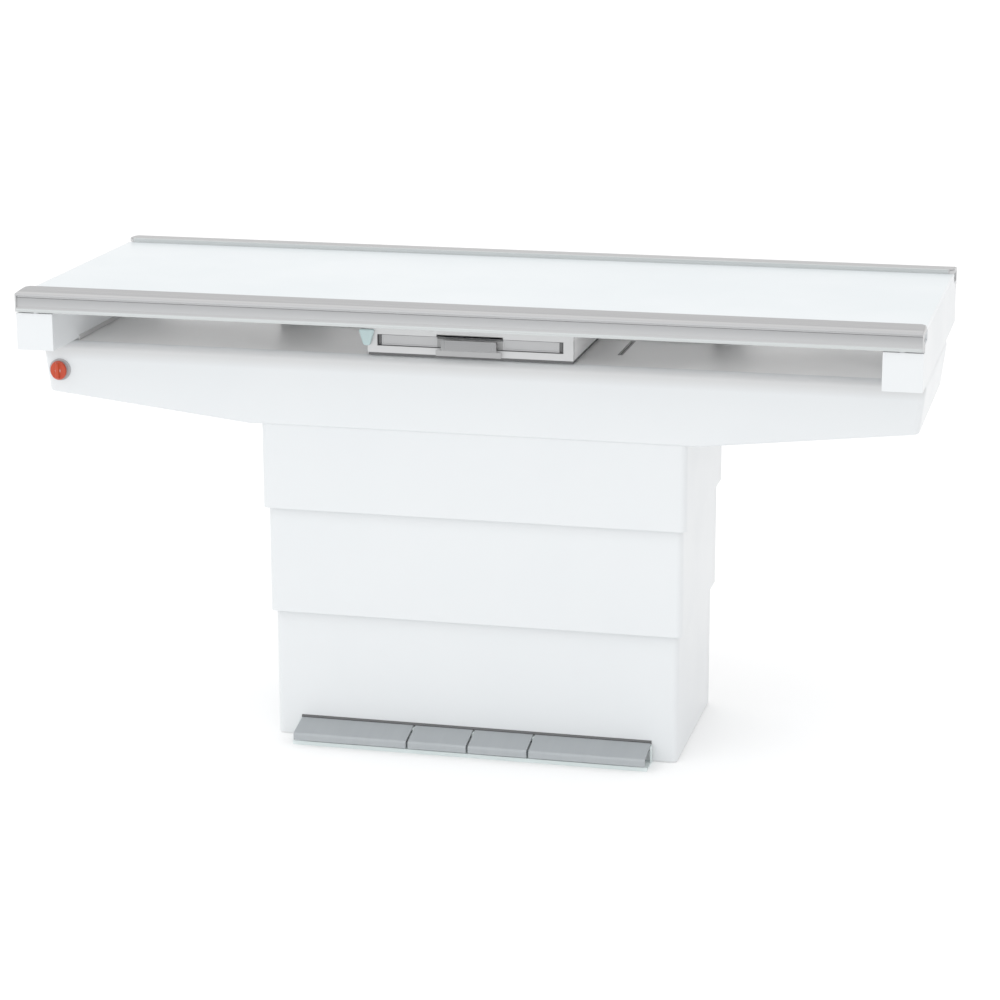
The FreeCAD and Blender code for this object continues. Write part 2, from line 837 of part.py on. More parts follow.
def tabletop_bearings():
    """Blocks on the tie bars with an open channel for the tabletop's guide rails."""
    blocks = []
    half = guide_width / 2 + guide_clearance
    for x in (-top_block_pitch / 2, top_block_pitch / 2):
        for y in (-guide_pitch / 2, guide_pitch / 2):
            bearing = block(block_length, block_width, z_carriage, z_guide + guide_engagement, x, y)
            channel = box(x - block_length, x + block_length, y - half, y + half,
                          z_guide - guide_clearance, z_panel_low)
            blocks.append(bearing.cut(channel))
    return blocks


def tabletop_brakes():
    return [block(brake_length, brake_width, z_carriage, z_guide - brake_air_gap, 0, side * guide_pitch / 2)
            for side in (-1, 1)]


def cross_brakes():
    y = sum(cross_block_places) / len(cross_block_places)
    return [block(cross_brake_width, cross_brake_length, z_deck, z_cross_rail - brake_air_gap, x, y)
            for x in arms_x]


# ---------------------------------------------------------------- bucky
def bucky_rails():
    """Rails on the deck, as long as fits between the carriage's bearing blocks."""
    length = arm_pitch - block_width - 2 * bucky_rail_end_gap
    return [block(length, bucky_rail_width, z_deck, z_deck + bucky_rail_height, 0, y)
            for y in bucky_rail_places]


def bucky_bearings():
    """Blocks under the raised rear of the housing, astride the rails."""
    blocks = []
    half = bucky_rail_width / 2 + guide_clearance
    low = z_deck + bucky_block_gap
    high = z_bucky + bucky_step_rise
    for x in (-bucky_block_pitch / 2, bucky_block_pitch / 2):
        for y in bucky_rail_places:
            bearing = block(bucky_block_length, bucky_block_width, low, high, x, y)
            channel = box(x - bucky_block_length, x + bucky_block_length, y - half, y + half,
                          low - 1, z_deck + bucky_rail_height + guide_clearance)
            blocks.append(bearing.cut(channel))
    return blocks


def bucky_housing():
    """A tray-shaped housing, open above and in front, with a ledge along each side for the grid."""
    sheet = bucky_sheet
    half = bucky_width / 2
    front = bucky_back_of_bezel
    step_z = z_bucky + bucky_step_rise
    top = z_bucky + bucky_height
    outer = [(front, z_bucky), (bucky_step_y, z_bucky), (bucky_step_y, step_z), (bucky_rear, step_z),
             (bucky_rear, top), (front, top)]
    inner = [(front - 1, z_bucky + sheet), (bucky_step_y - sheet, z_bucky + sheet),
             (bucky_step_y - sheet, step_z + sheet), (bucky_rear - sheet, step_z + sheet),
             (bucky_rear - sheet, top + 1), (front - 1, top + 1)]
    housing = prism([(-half, y, z) for y, z in outer], (2 * half, 0, 0))
    housing = housing.cut(prism([(-half + sheet, y, z) for y, z in inner], (2 * half - 2 * sheet, 0, 0)))
    for side in (-1, 1):
        x_in = side * (half - sheet - ledge_depth)
        x_out = side * (half - sheet)
        housing = housing.fuse(box(min(x_in, x_out), max(x_in, x_out), front, bucky_rear - sheet,
                                   z_ledge - sheet, z_ledge))
    return housing.removeSplitter()


def bucky_bezel():
    """The front frame around the tray, with a finger slot over the pull and a hole for the lever."""
    half = bucky_width / 2
    bezel = box(-half, half, bucky_front, bucky_back_of_bezel, z_bucky, z_bucky + bezel_height)
    deep = (bucky_front - 1, bucky_back_of_bezel + 1)
    bezel = bezel.cut(box(-opening_width / 2, opening_width / 2, deep[0], deep[1], z_opening, z_opening_top))
    bezel = bezel.cut(box(-finger_slot_width / 2, finger_slot_width / 2, deep[0], deep[1], z_opening,
                          z_opening_top + finger_slot_rise))
    hole = rod(lever_pin_radius + lever_pin_clearance, (-half + lever_inset, deep[0], z_bucky + lever_rise),
               (0, 1, 0), deep[1] - deep[0])
    return bezel.cut(hole)


def bucky_lever():
    """A tapered paddle hanging from a stub in the frame's left-hand upright."""
    x = -bucky_width / 2 + lever_inset
    z = z_bucky + lever_rise
    y0 = bucky_front - lever_stand_off - lever_thick
    top = z + lever_head
    low = z + lever_head - lever_length
    centre = x - lever_shift
    points = [(centre - lever_top_width / 2, y0, top), (centre + lever_top_width / 2, y0, top),
              (centre + lever_foot_width / 2, y0, low), (centre - lever_foot_width / 2, y0, low)]
    paddle = prism(points, (0, lever_thick, 0))
    edges = [e for e in paddle.Edges if abs(e.tangentAt(e.FirstParameter).y) > 0.99]
    paddle = paddle.makeFillet(lever_corner, edges)
    stub = rod(lever_pin_radius, (x, y0 + lever_thick, z), (0, 1, 0), lever_stand_off + bezel_depth)
    return paddle.fuse(stub).removeSplitter()


def ion_chamber():
    return block(chamber_length, chamber_width, z_ledge - bucky_sheet - chamber_thick, z_ledge - bucky_sheet)


def grid():
    z0 = z_ledge + grid_gap
    return block(grid_length, grid_width, z0, z0 + grid_thick)


# ---------------------------------------------------------------- cassette tray
def tray_runners():
    """Channels on the housing's sides that hold the tray's flanges."""
    half_tray = tray_width / 2
    x0 = half_tray + runner_gap
    x1 = bucky_width / 2 - bucky_sheet
    z0 = z_tray - runner_low
    z1 = z_tray + tray_sheet + tray_clearance + runner_lip
    start = bucky_back_of_bezel
    end = tray_start + tray_length + runner_gap
    runner = box(x0, x1, start, end, z0, z1)
    groove = box(x0 - 1, half_tray + tray_flange + tray_clearance, start - 1, end + 1,
                 z_tray - tray_clearance, z_tray + tray_sheet + tray_clearance)
    runner = runner.cut(groove)
    return [runner, mirror_x(runner)]


def tray_pan():
    """A shallow pan with side flanges, open above and closed at the rear."""
    half = tray_width / 2
    sheet = tray_sheet
    end = tray_start + tray_length
    pan = box(-half, half, tray_start, end, z_tray, z_tray + tray_wall_height)
    pan = pan.cut(box(-half + sheet, half - sheet, tray_start - 1, end - sheet, z_tray + sheet,
                      z_tray + tray_wall_height + 1))
    flange = box(-half - tray_flange, half + tray_flange, tray_start, end, z_tray, z_tray + sheet)
    return pan.fuse(flange).removeSplitter()


def tray_front():
    """The plate in the frame's opening, cut down in the middle under the finger slot."""
    half = tray_front_width / 2
    y0 = tray_front_face
    z0 = z_opening + tray_front_margin
    z1 = z_opening_top - tray_front_margin
    plate = box(-half, half, y0, tray_start, z0, z1)
    half_slot = finger_slot_width / 2
    return plate.cut(box(-half_slot, half_slot, y0 - 1, tray_start + 1, pull_top, z1 + 1))


def tray_pull():
    """A plate in front of the frame with a wider lip below, on a web that reaches back to the tray front."""
    half = pull_width / 2
    half_lip = pull_lip_width / 2
    face = bucky_front - pull_reach
    low = z_bucky - pull_drop
    plate = box(-half, half, face, face + pull_sheet, low, pull_top)
    plate = plate.fuse(box(-half_lip, half_lip, face, face + pull_sheet, low, low + pull_lip_height))
    web_top = pull_top - pull_web_drop
    web = box(-half + 1, half - 1, face, tray_front_face, web_top - pull_sheet, web_top)
    return plate.fuse(web).removeSplitter()


def centring_jaw():
    """The right-hand jaw that centres a cassette."""
    x1 = tray_width / 2 - tray_sheet - tray_clearance
    y = tray_start + tray_length / 2
    z0 = z_tray + tray_sheet + tray_clearance
    return box(x1 - jaw_thick, x1, y - jaw_length / 2, y + jaw_length / 2, z0, z0 + jaw_height)


# ---------------------------------------------------------------- emergency stop
def stop_collar():
    """The switch body behind the cover, its barrel through the cover and the collar in front."""
    collar_face = body_front - stop_collar_thick
    collar = rod(stop_collar_radius, (stop_x, collar_face, z_stop), (0, 1, 0), stop_collar_thick)
    collar = collar.fuse(rod(stop_barrel_radius, (stop_x, collar_face, z_stop), (0, 1, 0),
                             stop_collar_thick + body_sheet))
    collar = collar.fuse(rod(stop_body_radius, (stop_x, body_front + body_sheet, z_stop), (0, 1, 0),
                             stop_body_length))
    bore = rod(stop_stem_radius + stop_stem_clearance, (stop_x, collar_face - 1, z_stop), (0, 1, 0),
               stop_collar_thick + body_sheet + stop_stem_length)
    return collar.cut(bore).removeSplitter()


def stop_plunger():
    """The stem that slides in the barrel, with a spigot for the head."""
    start = body_front - stop_collar_thick - stop_neck_gap
    stem = rod(stop_stem_radius, (stop_x, start, z_stop), (0, 1, 0), stop_stem_length)
    spigot = rod(stop_spigot_radius, (stop_x, start - stop_head_thick / 2, z_stop), (0, 1, 0),
                 stop_head_thick / 2)
    return stem.fuse(spigot).removeSplitter()


def stop_head():
    """The mushroom head that turns on the spigot."""
    back = body_front - stop_collar_thick - stop_neck_gap
    head = rod(stop_head_radius, (stop_x, back - stop_head_thick, z_stop), (0, 1, 0), stop_head_thick)
    front_edge = [e for e in head.Edges if abs(e.CenterOfMass.y - back + stop_head_thick) < 0.01]
    head = head.makeFillet(stop_head_bend, front_edge)
    seat = rod(stop_spigot_radius + stop_spigot_gap, (stop_x, back - stop_head_thick / 2, z_stop), (0, 1, 0),
               stop_head_thick)
    return head.cut(seat)


# ---------------------------------------------------------------- all nodes
def main():
    os.makedirs("parts", exist_ok=True)
    save("base_plate", [base_plate()])
    save("lower_cover", [lower_cover()])
    save("mains_inlet", [mains_inlet()])
    save("control_box", [control_box()])
    save("outer_tubes", outer_tubes())
    save("gearboxes", gearboxes())
    save("lift_motor", [lift_motor()])
    save("lift_screw_left", [lift_screw(columns_x[0])])
    save("lift_screw_right", [lift_screw(columns_x[1])])
    save("drive_shaft", [drive_shaft()])
    save("pedal_bracket", [pedal_bracket()])
    save("pedal_pin", [pedal_pin()])
    save("pedal_switches", pedal_switches())
    pedal_names = ("pedal_float_left", "pedal_down", "pedal_up", "pedal_float_right")
    for name, left, right in zip(pedal_names, pedal_edges, pedal_edges[1:]):
        save(name, [pedal(left, right)])

    save("middle_cover", [column_cover(1, z_middle, middle_cover_top, cover_hem)])
    save("middle_tubes", [middle_tubes()])
    outer_gap = (outer_tube - 2 * outer_wall - middle_tube) / 2
    save("middle_glides", glides(middle_tube, outer_gap, middle_tube_low))

    save("upper_cover", [column_cover(2, z_upper, z_keel, cover_hem)])
    save("inner_tubes", inner_tubes())
    middle_gap = (middle_tube - 2 * middle_wall - inner_tube) / 2
    save("inner_glides", glides(inner_tube, middle_gap, inner_tube_low))
    save("lift_nuts", lift_nuts())
    save("upper_frame", [upper_frame()])
    for name, piece in body_pieces().items():
        save(name, piece.Solids)
    save("stop_collar", [stop_collar()])
    save("stop_plunger", [stop_plunger()])
    save("stop_head", [stop_head()])

    save("bucky_rails", bucky_rails())
    save("cross_bearings", cross_bearings())
    save("cross_brakes", cross_brakes())
    save("carriage_frame", [carriage_frame()])
    save("cross_rails", cross_rails())
    save("tabletop_bearings", tabletop_bearings())
    save("tabletop_brakes", tabletop_brakes())

    save("tabletop_panel", [tabletop_panel()])
    save("front_rail", [front_rail()])
    save("rear_rail", [mirror_y(front_rail())])
    save("rail_caps", rail_caps())
    save("right_end_beam", [end_beam()])
    save("left_end_beam", [half_turn(end_beam())])
    save("guide_rails", guide_rails())

    save("bucky_housing", [bucky_housing()])
    save("bucky_bezel", [bucky_bezel()])
    save("bucky_bearings", bucky_bearings())
    save("bucky_lever", [bucky_lever()])
    save("ion_chamber", [ion_chamber()])
    save("grid", [grid()])
    save("tray_runners", tray_runners())
    save("tray_pan", [tray_pan()])
    save("tray_front", [tray_front()])
    save("tray_pull", [tray_pull()])
    save("jaw_right", [centring_jaw()])
    save("jaw_left", [mirror_x(centring_jaw())])


main()
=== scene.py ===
import bpy
import bmesh
import json
from math import radians
from mathutils import Matrix, Vector

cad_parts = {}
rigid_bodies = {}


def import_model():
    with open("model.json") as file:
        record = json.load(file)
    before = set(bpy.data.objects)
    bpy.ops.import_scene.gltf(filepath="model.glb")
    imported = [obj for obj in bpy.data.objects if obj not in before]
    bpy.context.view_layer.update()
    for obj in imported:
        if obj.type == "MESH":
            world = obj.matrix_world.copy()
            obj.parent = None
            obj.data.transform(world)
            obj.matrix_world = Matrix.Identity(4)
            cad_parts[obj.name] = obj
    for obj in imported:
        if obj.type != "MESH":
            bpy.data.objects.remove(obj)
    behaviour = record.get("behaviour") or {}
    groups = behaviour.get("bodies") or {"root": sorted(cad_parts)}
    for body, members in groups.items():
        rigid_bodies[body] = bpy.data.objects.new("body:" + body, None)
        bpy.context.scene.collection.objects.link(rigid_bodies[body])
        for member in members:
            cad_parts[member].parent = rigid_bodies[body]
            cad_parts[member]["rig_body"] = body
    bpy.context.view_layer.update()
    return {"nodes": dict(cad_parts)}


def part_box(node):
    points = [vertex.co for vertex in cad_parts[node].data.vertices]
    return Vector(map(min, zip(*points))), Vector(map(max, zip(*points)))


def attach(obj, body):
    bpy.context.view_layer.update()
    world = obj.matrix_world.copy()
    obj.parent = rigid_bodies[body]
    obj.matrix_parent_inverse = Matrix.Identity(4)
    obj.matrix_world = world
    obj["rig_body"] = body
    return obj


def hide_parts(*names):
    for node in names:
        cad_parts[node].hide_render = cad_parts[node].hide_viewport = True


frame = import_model()
mm = 0.001
print("frame loaded:", len(frame["nodes"]), "nodes")


# shader nodes; what is fed in is a number, a colour or another node's output
def feed(tree, value, socket):
    if isinstance(value, (int, float)):
        socket.default_value = value
    elif isinstance(value, tuple):
        socket.default_value = (*value, 1)
    else:
        tree.links.new(value, socket)


def noise(tree, place, scale, detail=2.0, roughness=0.5):
    node = tree.nodes.new("ShaderNodeTexNoise")
    for label, value in (("Vector", place), ("Scale", scale), ("Detail", detail), ("Roughness", roughness)):
        feed(tree, value, node.inputs[label])
    return node.outputs["Fac"]


def ranged(tree, value, low, high, toLow=0.0, toHigh=1.0):
    node = tree.nodes.new("ShaderNodeMapRange")
    for label, number in (("Value", value), ("From Min", low), ("From Max", high), ("To Min", toLow),
                          ("To Max", toHigh)):
        feed(tree, number, node.inputs[label])
    return node.outputs["Result"]


def maths(tree, operation, first, second):
    node = tree.nodes.new("ShaderNodeMath")
    node.operation = operation
    feed(tree, first, node.inputs[0])
    feed(tree, second, node.inputs[1])
    return node.outputs[0]


def times(tree, first, second):
    return maths(tree, "MULTIPLY", first, second)


def plus(tree, first, second):
    return maths(tree, "ADD", first, second)


def axes(tree, vector):
    node = tree.nodes.new("ShaderNodeSeparateXYZ")
    tree.links.new(vector, node.inputs[0])
    return node.outputs


def blendColour(tree, factor, first, second):
    node = tree.nodes.new("ShaderNodeMix")
    node.data_type = "RGBA"
    for label, value in (("Factor", factor), ("A", first), ("B", second)):
        feed(tree, value, node.inputs[label])
    return node.outputs["Result"]


# camera, floor and light
view = {"place": (1.520, -6.342, 2.244), "down": 14.75, "aside": 13.41, "roll": -0.13, "lens": 105.4,
        "sensor": 36, "gamma": 1.4}
floor = {"size": 80, "colour": (0.975, 0.975, 0.975), "roughness": 0.9}
sky = {"seen": (1.0, 1.0, 1.0), "above": (1.0, 1.0, 1.0), "level": (0.93, 0.92, 0.915), "strength": 1.25,
       # between which heights level turns to above; start, end and share of the darker right-hand side
       "heights": (-0.1, 0.7), "aside": (0.2, 0.95, 0.76)}
lamps = {
    "ceilingLight": {"place": (-0.4, -1.6, 4.4), "aim": (0, 0, 0.7), "size": (4.5, 3.0), "power": 22.5,
                     "colour": (0.94, 0.985, 1.0)},
    "frontLight": {"place": (-1.2, -5.4, 1.25), "aim": (0, 0, 0.95), "size": (4.5, 1.2), "power": 32.5,
                   "colour": (0.88, 0.97, 1.0)},
    # low from behind, for the room under the tabletop alone
    "gapLight": {"place": (0, 2.6, 1.36), "aim": (0, 0, 0.9), "size": (3.4, 0.6), "power": 27,
                 "colour": (1.0, 1.0, 1.0), "only": ("deckPan", "frontCover")},
}


def addCamera():
    data = bpy.data.cameras.new("mainView")
    camera = bpy.data.objects.new("mainView", data)
    bpy.context.scene.collection.objects.link(camera)
    data.sensor_width = view["sensor"]
    data.lens = view["lens"]
    turn = Matrix.Rotation(radians(view["aside"]), 4, "Z")
    tilt = Matrix.Rotation(radians(90 - view["down"]), 4, "X")
    roll = Matrix.Rotation(radians(view["roll"]), 4, "Z")
    camera.matrix_world = Matrix.Translation(view["place"]) @ turn @ tilt @ roll
    bpy.context.scene.camera = camera


def addFloor():
    bpy.ops.mesh.primitive_plane_add(size=floor["size"], location=(0, 0, 0))
    ground = bpy.context.object
    ground.name = "studioFloor"
    paint = bpy.data.materials.new("studioFloor")
    paint.use_nodes = True
    shader = paint.node_tree.nodes["Principled BSDF"]
    shader.inputs["Base Color"].default_value = (*floor["colour"], 1)
    shader.inputs["Roughness"].default_value = floor["roughness"]
    ground.data.materials.append(paint)


def addSky():
    world = bpy.data.worlds.new("studioSky")
    bpy.context.scene.world = world
    world.use_nodes = True
    tree = world.node_tree
    tree.nodes.clear()
    place = axes(tree, tree.nodes.new("ShaderNodeTexCoord").outputs["Generated"])
    shade = blendColour(tree, ranged(tree, place["Z"], *sky["heights"]), sky["level"], sky["above"])
    start, end, share = sky["aside"]
    strength = ranged(tree, place["X"], start, end, sky["strength"], sky["strength"] * share)
    light = tree.nodes.new("ShaderNodeBackground")
    feed(tree, shade, light.inputs["Color"])
    feed(tree, strength, light.inputs["Strength"])
    seen = tree.nodes.new("ShaderNodeBackground")
    feed(tree, sky["seen"], seen.inputs["Color"])
    path = tree.nodes.new("ShaderNodeLightPath")
    choose = tree.nodes.new("ShaderNodeMixShader")
    out = tree.nodes.new("ShaderNodeOutputWorld")
    tree.links.new(path.outputs["Is Camera Ray"], choose.inputs[0])
    tree.links.new(light.outputs[0], choose.inputs[1])
    tree.links.new(seen.outputs[0], choose.inputs[2])
    tree.links.new(choose.outputs[0], out.inputs["Surface"])


def addLamps():
    for name, lamp in lamps.items():
        data = bpy.data.lights.new(name, "AREA")
        data.shape = "RECTANGLE"
        data.size, data.size_y = lamp["size"]
        data.energy = lamp["power"]
        data.color = lamp["colour"]
        light = bpy.data.objects.new(name, data)
        bpy.context.scene.collection.objects.link(light)
        light.location = lamp["place"]
        aim = Vector(lamp["aim"]) - Vector(lamp["place"])
        light.rotation_euler = aim.to_track_quat("-Z", "Y").to_euler()


def aimLamps():
    # a lamp with a list lights the named pieces alone
    for name, lamp in lamps.items():
        if "only" in lamp:
            lit = bpy.data.collections.new(name + "Lit")
            for pieceName in lamp["only"]:
                lit.objects.link(bpy.data.objects[pieceName])
            bpy.data.objects[name].light_linking.receiver_collection = lit


addCamera()
addFloor()
addSky()
addLamps()
bpy.context.scene.view_settings.view_transform = "Standard"
bpy.context.scene.view_settings.gamma = view["gamma"]
print("camera, floor and lights placed")


# shared surface effects, as node groups; a noise is given by its scale, detail and roughness
def newGroup(name, values, outputs):
    group = bpy.data.node_groups.new(name, "ShaderNodeTree")
    for label, value in {"Place": (0, 0, 0), **values}.items():
        kind = "NodeSocketVector" if isinstance(value, tuple) else "NodeSocketFloat"
        socket = group.interface.new_socket(label, in_out="INPUT", socket_type=kind)
        socket.default_value = value
    for label in outputs:
        group.interface.new_socket(label, in_out="OUTPUT", socket_type="NodeSocketFloat")
    start = group.nodes.new("NodeGroupInput")
    end = group.nodes.new("NodeGroupOutput")
    return group, start.outputs, end.inputs


powderLook = {"scale": 600.0, "detail": 1.5, "patches": (2.6, 3.0, 0.6), "patchRange": (0.35, 0.65)}


def powderGroup():
    # orange peel of a sprayed or powdered coat, and slow changes of tone
    group, start, end = newGroup("powderCoat", {"Scale": powderLook["scale"]}, ("Height", "Mottle"))
    peel = noise(group, start["Place"], start["Scale"], powderLook["detail"])
    slow = noise(group, start["Place"], *powderLook["patches"])
    group.links.new(peel, end["Height"])
    group.links.new(ranged(group, slow, *powderLook["patchRange"]), end["Mottle"])
    return group


dustLook = {"amount": 0.3, "facing": (0.4, 1.0), "patches": (9.0, 5.0, 0.65), "patchRange": (0.38, 0.7),
            "grains": (420.0, 2.0), "grainRange": (0.45, 0.75), "grainShare": 0.6, "rest": 0.4}


def dustGroup():
    # a thin film of dust on what faces up, in patches
    group, start, end = newGroup("settledDust", {"Amount": dustLook["amount"]}, ("Mask",))
    normal = axes(group, group.nodes.new("ShaderNodeNewGeometry").outputs["Normal"])
    facing = ranged(group, normal["Z"], *dustLook["facing"])
    patches = ranged(group, noise(group, start["Place"], *dustLook["patches"]), *dustLook["patchRange"])
    grains = ranged(group, noise(group, start["Place"], *dustLook["grains"]), *dustLook["grainRange"])
    both = times(group, patches, plus(group, times(group, grains, dustLook["grainShare"]), dustLook["rest"]))
    group.links.new(times(group, times(group, facing, both), start["Amount"]), end["Mask"])
    return group


wearLook = {"amount": 0.35, "radius": 0.0012, "samples": 4, "range": (0.02, 0.16),
            "patches": (60.0, 4.0, 0.6), "patchRange": (0.35, 0.62)}


def wearGroup():
    # where hands and cloths rub the edges
    group, start, end = newGroup("rubbedEdges", {"Amount": wearLook["amount"]}, ("Mask",))
    rounded = group.nodes.new("ShaderNodeBevel")
    rounded.samples = wearLook["samples"]
    rounded.inputs["Radius"].default_value = wearLook["radius"]
    turned = group.nodes.new("ShaderNodeVectorMath")
    turned.operation = "DOT_PRODUCT"
    group.links.new(group.nodes.new("ShaderNodeNewGeometry").outputs["Normal"], turned.inputs[0])
    group.links.new(rounded.outputs[0], turned.inputs[1])
    edge = ranged(group, maths(group, "SUBTRACT", 1.0, turned.outputs["Value"]), *wearLook["range"])
    broken = ranged(group, noise(group, start["Place"], *wearLook["patches"]), *wearLook["patchRange"])
    group.links.new(times(group, times(group, edge, broken), start["Amount"]), end["Mask"])
    return group


streakLook = {"stretch": (0.01, 1, 1), "scale": 500.0, "range": (0.3, 0.7), "bandScale": 0.12,
              "bandRange": (0.35, 0.65)}


def streakGroup():
    # fine lines drawn along one direction, as on extruded, brushed or ground metal
    values = {"Stretch": streakLook["stretch"], "Scale": streakLook["scale"]}
    group, start, end = newGroup("drawnLines", values, ("Streak", "Band"))
    drawn = group.nodes.new("ShaderNodeVectorMath")
    drawn.operation = "MULTIPLY"
    group.links.new(start["Place"], drawn.inputs[0])
    group.links.new(start["Stretch"], drawn.inputs[1])
    fine = noise(group, drawn.outputs[0], start["Scale"])
    wide = noise(group, drawn.outputs[0], times(group, start["Scale"], streakLook["bandScale"]))
    group.links.new(ranged(group, fine, *streakLook["range"]), end["Streak"])
    group.links.new(ranged(group, wide, *streakLook["bandRange"]), end["Band"])
    return group


grainLook = {"scale": 1400.0, "cells": 0.6, "fineScale": 1.7, "fine": 0.5, "clouds": (14.0, 3.0),
             "cloudRange": (0.3, 0.7)}


def grainGroup():
    # spark-eroded grain of a moulded plastic part
    group, start, end = newGroup("mouldedGrain", {"Scale": grainLook["scale"]}, ("Height", "Cloud"))
    cells = group.nodes.new("ShaderNodeTexVoronoi")
    cells.feature = "SMOOTH_F1"
    group.links.new(start["Place"], cells.inputs["Vector"])
    group.links.new(start["Scale"], cells.inputs["Scale"])
    fine = noise(group, start["Place"], times(group, start["Scale"], grainLook["fineScale"]))
    height = plus(group, times(group, cells.outputs["Distance"], grainLook["cells"]),
                  times(group, fine, grainLook["fine"]))
    clouds = ranged(group, noise(group, start["Place"], *grainLook["clouds"]), *grainLook["cloudRange"])
    group.links.new(height, end["Height"])
    group.links.new(clouds, end["Cloud"])
    return group


powder = powderGroup()
dust = dustGroup()
wear = wearGroup()
streaks = streakGroup()
grain = grainGroup()
print("surface effects ready")


# finishes; a pattern gives what mixes the two colours, what sets the roughness, and the relief's height
def useGroup(tree, group, place, **values):
    node = tree.nodes.new("ShaderNodeGroup")
    node.node_tree = group
    tree.links.new(place, node.inputs["Place"])
    for label, value in values.items():
        node.inputs[label].default_value = value
    return node.outputs


def paintedPattern(tree, place, finish):
    coat = useGroup(tree, powder, place, Scale=finish["peel"])
    return coat["Mottle"], coat["Mottle"], coat["Height"]


def drawnPattern(tree, place, finish):
    lines = useGroup(tree, streaks, place, Stretch=finish["stretch"], Scale=finish["lines"])
    fine, wide = finish["shares"]
    mixed = plus(tree, times(tree, lines["Streak"], fine), times(tree, lines["Band"], wide))
    return mixed, lines["Streak"], lines["Streak"]


def mouldedPattern(tree, place, finish):
    skin = useGroup(tree, grain, place, Scale=finish["grain"])
    return skin["Cloud"], skin["Cloud"], skin["Height"]


def makeFinish(name, finish, pattern):
    material = bpy.data.materials.new(name)
    material.use_nodes = True
    tree = material.node_tree
    shader = tree.nodes["Principled BSDF"]
    for label, value in finish.get("shader", {}).items():
        shader.inputs[label].default_value = value
    place = tree.nodes.new("ShaderNodeTexCoord").outputs["Object"]
    mixed, tone, height = pattern(tree, place, finish)
    rubbed = useGroup(tree, wear, place, Amount=finish["rub"])["Mask"]
    film = useGroup(tree, dust, place, Amount=finish["dust"])["Mask"]
    colour = blendColour(tree, mixed, *finish["colours"])
    colour = blendColour(tree, rubbed, colour, finish["rubbed"])
    if "shoulder" in finish:
        # painted shadow: greyer over the rounded front shoulder, where the tabletop's overhang shades it,
        # from the flat top to the upright face
        inner, face, shoulder = finish["shoulder"]
        split = axes(tree, place)
        over = times(tree, ranged(tree, split["Y"], *inner), ranged(tree, split["Z"], *face))
        colour = blendColour(tree, over, colour, shoulder)
    if "fade" in finish:
        # painted shade: the rail's face turns darker towards its top
        start, end, upper = finish["fade"]
        colour = blendColour(tree, ranged(tree, axes(tree, place)["Z"], start, end), colour, upper)
    colour = blendColour(tree, film, colour, dustColour)
    rough = ranged(tree, tone, 0.0, 1.0, *finish["roughness"])
    if "dustRough" in finish:
        rough = plus(tree, rough, times(tree, film, finish["dustRough"]))
    bump = tree.nodes.new("ShaderNodeBump")
    bump.inputs["Strength"].default_value = finish["relief"]
    bump.inputs["Distance"].default_value = finish["deep"]
    tree.links.new(height, bump.inputs["Height"])
    tree.links.new(colour, shader.inputs["Base Color"])
    tree.links.new(rough, shader.inputs["Roughness"])
    tree.links.new(bump.outputs["Normal"], shader.inputs["Normal"])
    return material


def grey(level):
    return (level, level, level)


dustColour = (0.49, 0.48, 0.465)
painted = {"peel": 620.0, "dust": 0.10, "rub": 0.35, "rubbed": grey(0.74), "dustRough": 0.25,
           "roughness": (0.34, 0.44), "relief": 0.10, "deep": 0.0004}
drawn = {"stretch": (0.004, 1.0, 1.0), "lines": 450.0, "shares": (0.6, 0.4), "dust": 0.04, "rub": 0.5,
         "rubbed": grey(0.68), "roughness": (0.32, 0.46), "relief": 0.05, "deep": 0.0001}
moulded = {"grain": 1500.0, "dust": 0.15, "rub": 0.3, "rubbed": grey(0.55), "roughness": (0.45, 0.6),
           "relief": 0.2, "deep": 0.0002}
enamel = {"colours": ((0.63, 0.652, 0.668), (0.618, 0.642, 0.66)),
          "shader": {"Coat Weight": 0.15, "Coat Roughness": 0.2}}
paintedFinishes = {
    "white_enamel": enamel,
    # the white enamel with a painted shadow of the tabletop's overhang over the front shoulder
    "shoulderShadowWhite": {**enamel, "shoulder": ((-0.243, -0.2525), (0.866, 0.888), (0.497, 0.502, 0.508))},
    "panel_white": {"colours": ((0.58, 0.625, 0.648), (0.568, 0.615, 0.638)), "peel": 1400.0,
                    "relief": 0.06, "roughness": (0.30, 0.38), "dust": 0.04},
    # painted light: the tabletop's underside whiter than its top, to throw more light into the gap
    "panelUnder": {"colours": (grey(0.94), grey(0.93)), "relief": 0.04, "dust": 0.0},
    "bezelWhite": {"colours": ((0.485, 0.487, 0.492), (0.47, 0.472, 0.477)), "rubbed": grey(0.62)},
    # painted light: the deck lighter than the white enamel, lifting the shade under the tabletop
    "deck_grey": {"colours": (grey(0.78), grey(0.76)), "rubbed": grey(0.78), "dust": 0.05,
                  "roughness": (0.42, 0.55)},
    # painted light: the housing lighter than the white enamel, lifting the shade it stands in under the
    # tabletop
    "bucky_grey": {"colours": (grey(0.88), (0.86, 0.86, 0.865)), "rubbed": grey(0.88)},
    "tray_grey": {"colours": ((0.355, 0.355, 0.362), (0.335, 0.335, 0.342)), "rubbed": grey(0.5)},
    "lipGrey": {"colours": ((0.275, 0.275, 0.278), (0.26, 0.26, 0.263)), "rubbed": grey(0.5)},
    "machine_steel": {"colours": ((0.64, 0.65, 0.65), (0.61, 0.62, 0.625)), "rubbed": grey(0.7),
                      "dust": 0.2, "roughness": (0.4, 0.55)},
}
